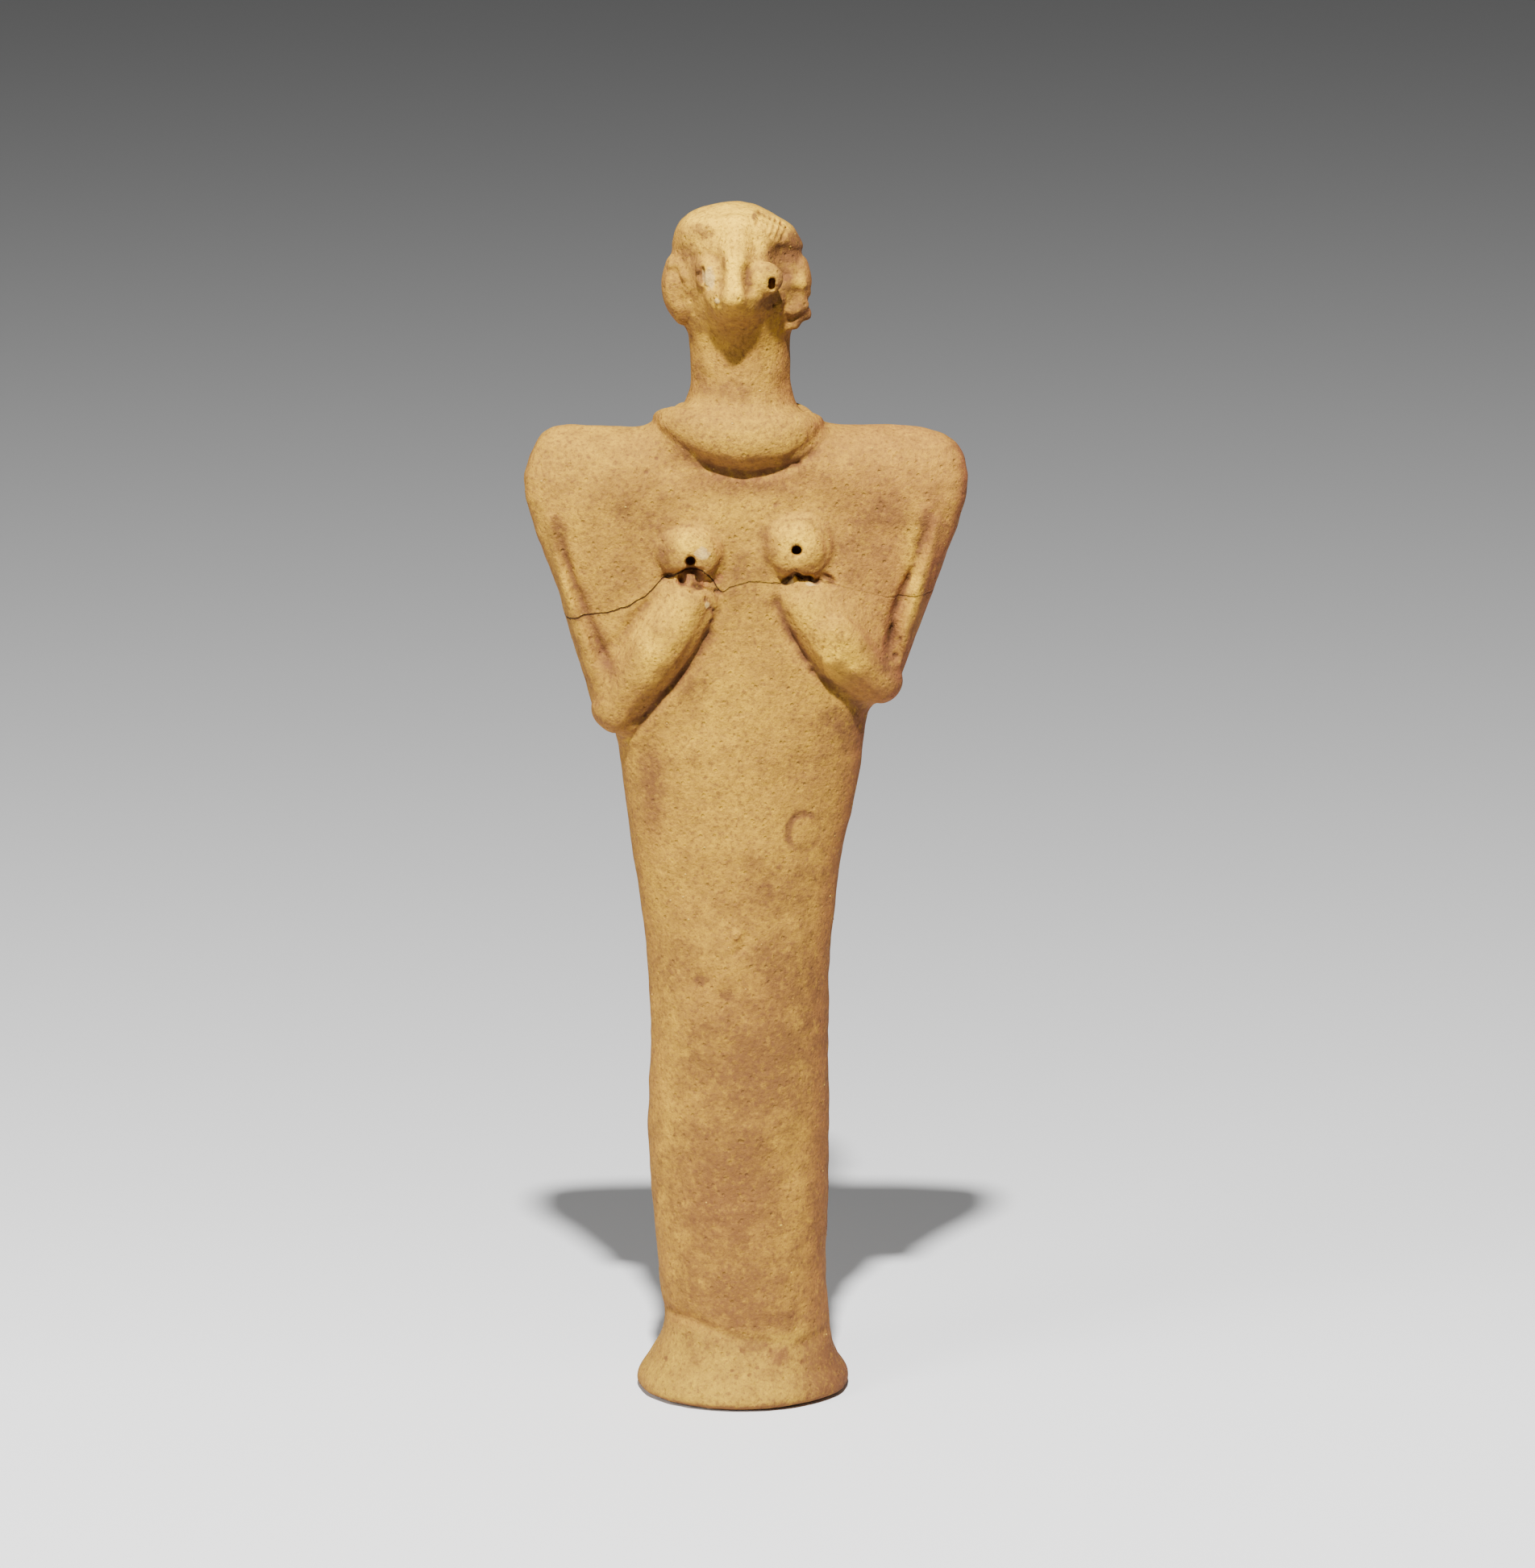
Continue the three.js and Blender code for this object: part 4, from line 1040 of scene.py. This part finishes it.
class IDOL_OT_lay_stage(Operator):
    """Lay the floor, and set the lights and the camera"""

    bl_idname = "idol.lay_stage"
    bl_label = "Lay the stage"

    def execute(self, context):
        stage = settings()[3]
        self.floor(context, stage)
        self.lights(context, stage)
        self.camera(context, stage)
        return {"FINISHED"}

    def floor(self, context, stage):
        half = 6.0
        front = -stage.floor_front
        corners = [(-half, front, 0), (half, front, 0), (half, half, 0), (-half, half, 0)]
        mesh = bpy.data.meshes.new("floor")
        mesh.from_pydata(corners, [], [(0, 1, 2, 3)])
        material, tree, place = new_material("floor_with_painted_falloff")
        # Painted light fall-off: the floor is paler near the idol and darker far behind it.
        back = tree.node("ShaderNodeSeparateXYZ", {"Vector": place}).outputs["Y"]
        near = tree.sum("EXPONENT", tree.sum("DIVIDE", tree.sum("MAXIMUM", back, 0.0), -0.28))
        base = tree.blend(near, stage.floor_far, stage.floor_near)
        tree.surface({"Base Color": base, "Roughness": 0.9, "Specular IOR Level": 0.1})
        mesh.materials.append(material)
        floor = bpy.data.objects.new("floor", mesh)
        context.scene.collection.objects.link(floor)

    def lights(self, context, stage):
        lamps = (("key", stage.key_place, stage.key_power, stage.key_width),
                 ("side light", stage.side_place, stage.side_power, 0.45))
        for name, spot, power, width in lamps:
            light = bpy.data.lights.new(name, "AREA")
            light.shape = "DISK"
            light.size = width
            light.energy = power
            lamp = bpy.data.objects.new(name, light)
            lamp.location = spot
            aim = Vector((0, 0, 80 * MM)) - Vector(spot)
            lamp.rotation_euler = aim.to_track_quat("-Z", "Y").to_euler()
            context.scene.collection.objects.link(lamp)
        world = bpy.data.worlds.new("studio")
        world.use_nodes = True
        sky = world.node_tree.nodes["Background"]
        sky.inputs["Color"].default_value = (1, 1, 1, 1)
        sky.inputs["Strength"].default_value = stage.fill
        context.scene.world = world

    def camera(self, context, stage):
        lens = bpy.data.cameras.new("camera")
        lens.lens = stage.lens
        lens.sensor_width = 36
        camera = bpy.data.objects.new("camera", lens)
        aim = Vector((3.41 * MM, 0, 82.66 * MM))
        back = Vector((0, -math.cos(stage.elevation), math.sin(stage.elevation)))
        camera.location = aim + back * stage.distance
        camera.rotation_euler = (math.pi / 2 - stage.elevation, 0, 0)
        context.scene.collection.objects.link(camera)
        context.scene.camera = camera


class IDOL_PT_sidebar(Panel):
    """The idol's values and steps"""

    bl_idname = "IDOL_PT_sidebar"
    bl_label = "Clay idol"
    bl_space_type = "VIEW_3D"
    bl_region_type = "UI"
    bl_category = "Idol"

    def draw(self, context):
        for group in settings():
            box = self.layout.box()
            for name in group.__annotations__:
                box.prop(group, name)
        for step_class in OPERATORS:
            self.layout.operator(step_class.bl_idname)


GROUPS = {"idol_form": IdolForm, "idol_finish": IdolFinish, "idol_grit": IdolGrit, "idol_stage": IdolStage}
OPERATORS = [IDOL_OT_model_clay, IDOL_OT_scatter_grit, IDOL_OT_lay_stage]


def register():
    for name, group in GROUPS.items():
        bpy.utils.register_class(group)
        setattr(bpy.types.Scene, name, PointerProperty(type=group))
    for item in [*OPERATORS, IDOL_PT_sidebar]:
        bpy.utils.register_class(item)


def unregister():
    for item in [IDOL_PT_sidebar, *OPERATORS]:
        bpy.utils.unregister_class(item)
    for name, group in GROUPS.items():
        delattr(bpy.types.Scene, name)
        bpy.utils.unregister_class(group)


def main():
    register()
    bpy.ops.idol.model_clay()
    bpy.ops.idol.scatter_grit()
    bpy.ops.idol.lay_stage()


if __name__ == "__main__":
    main()
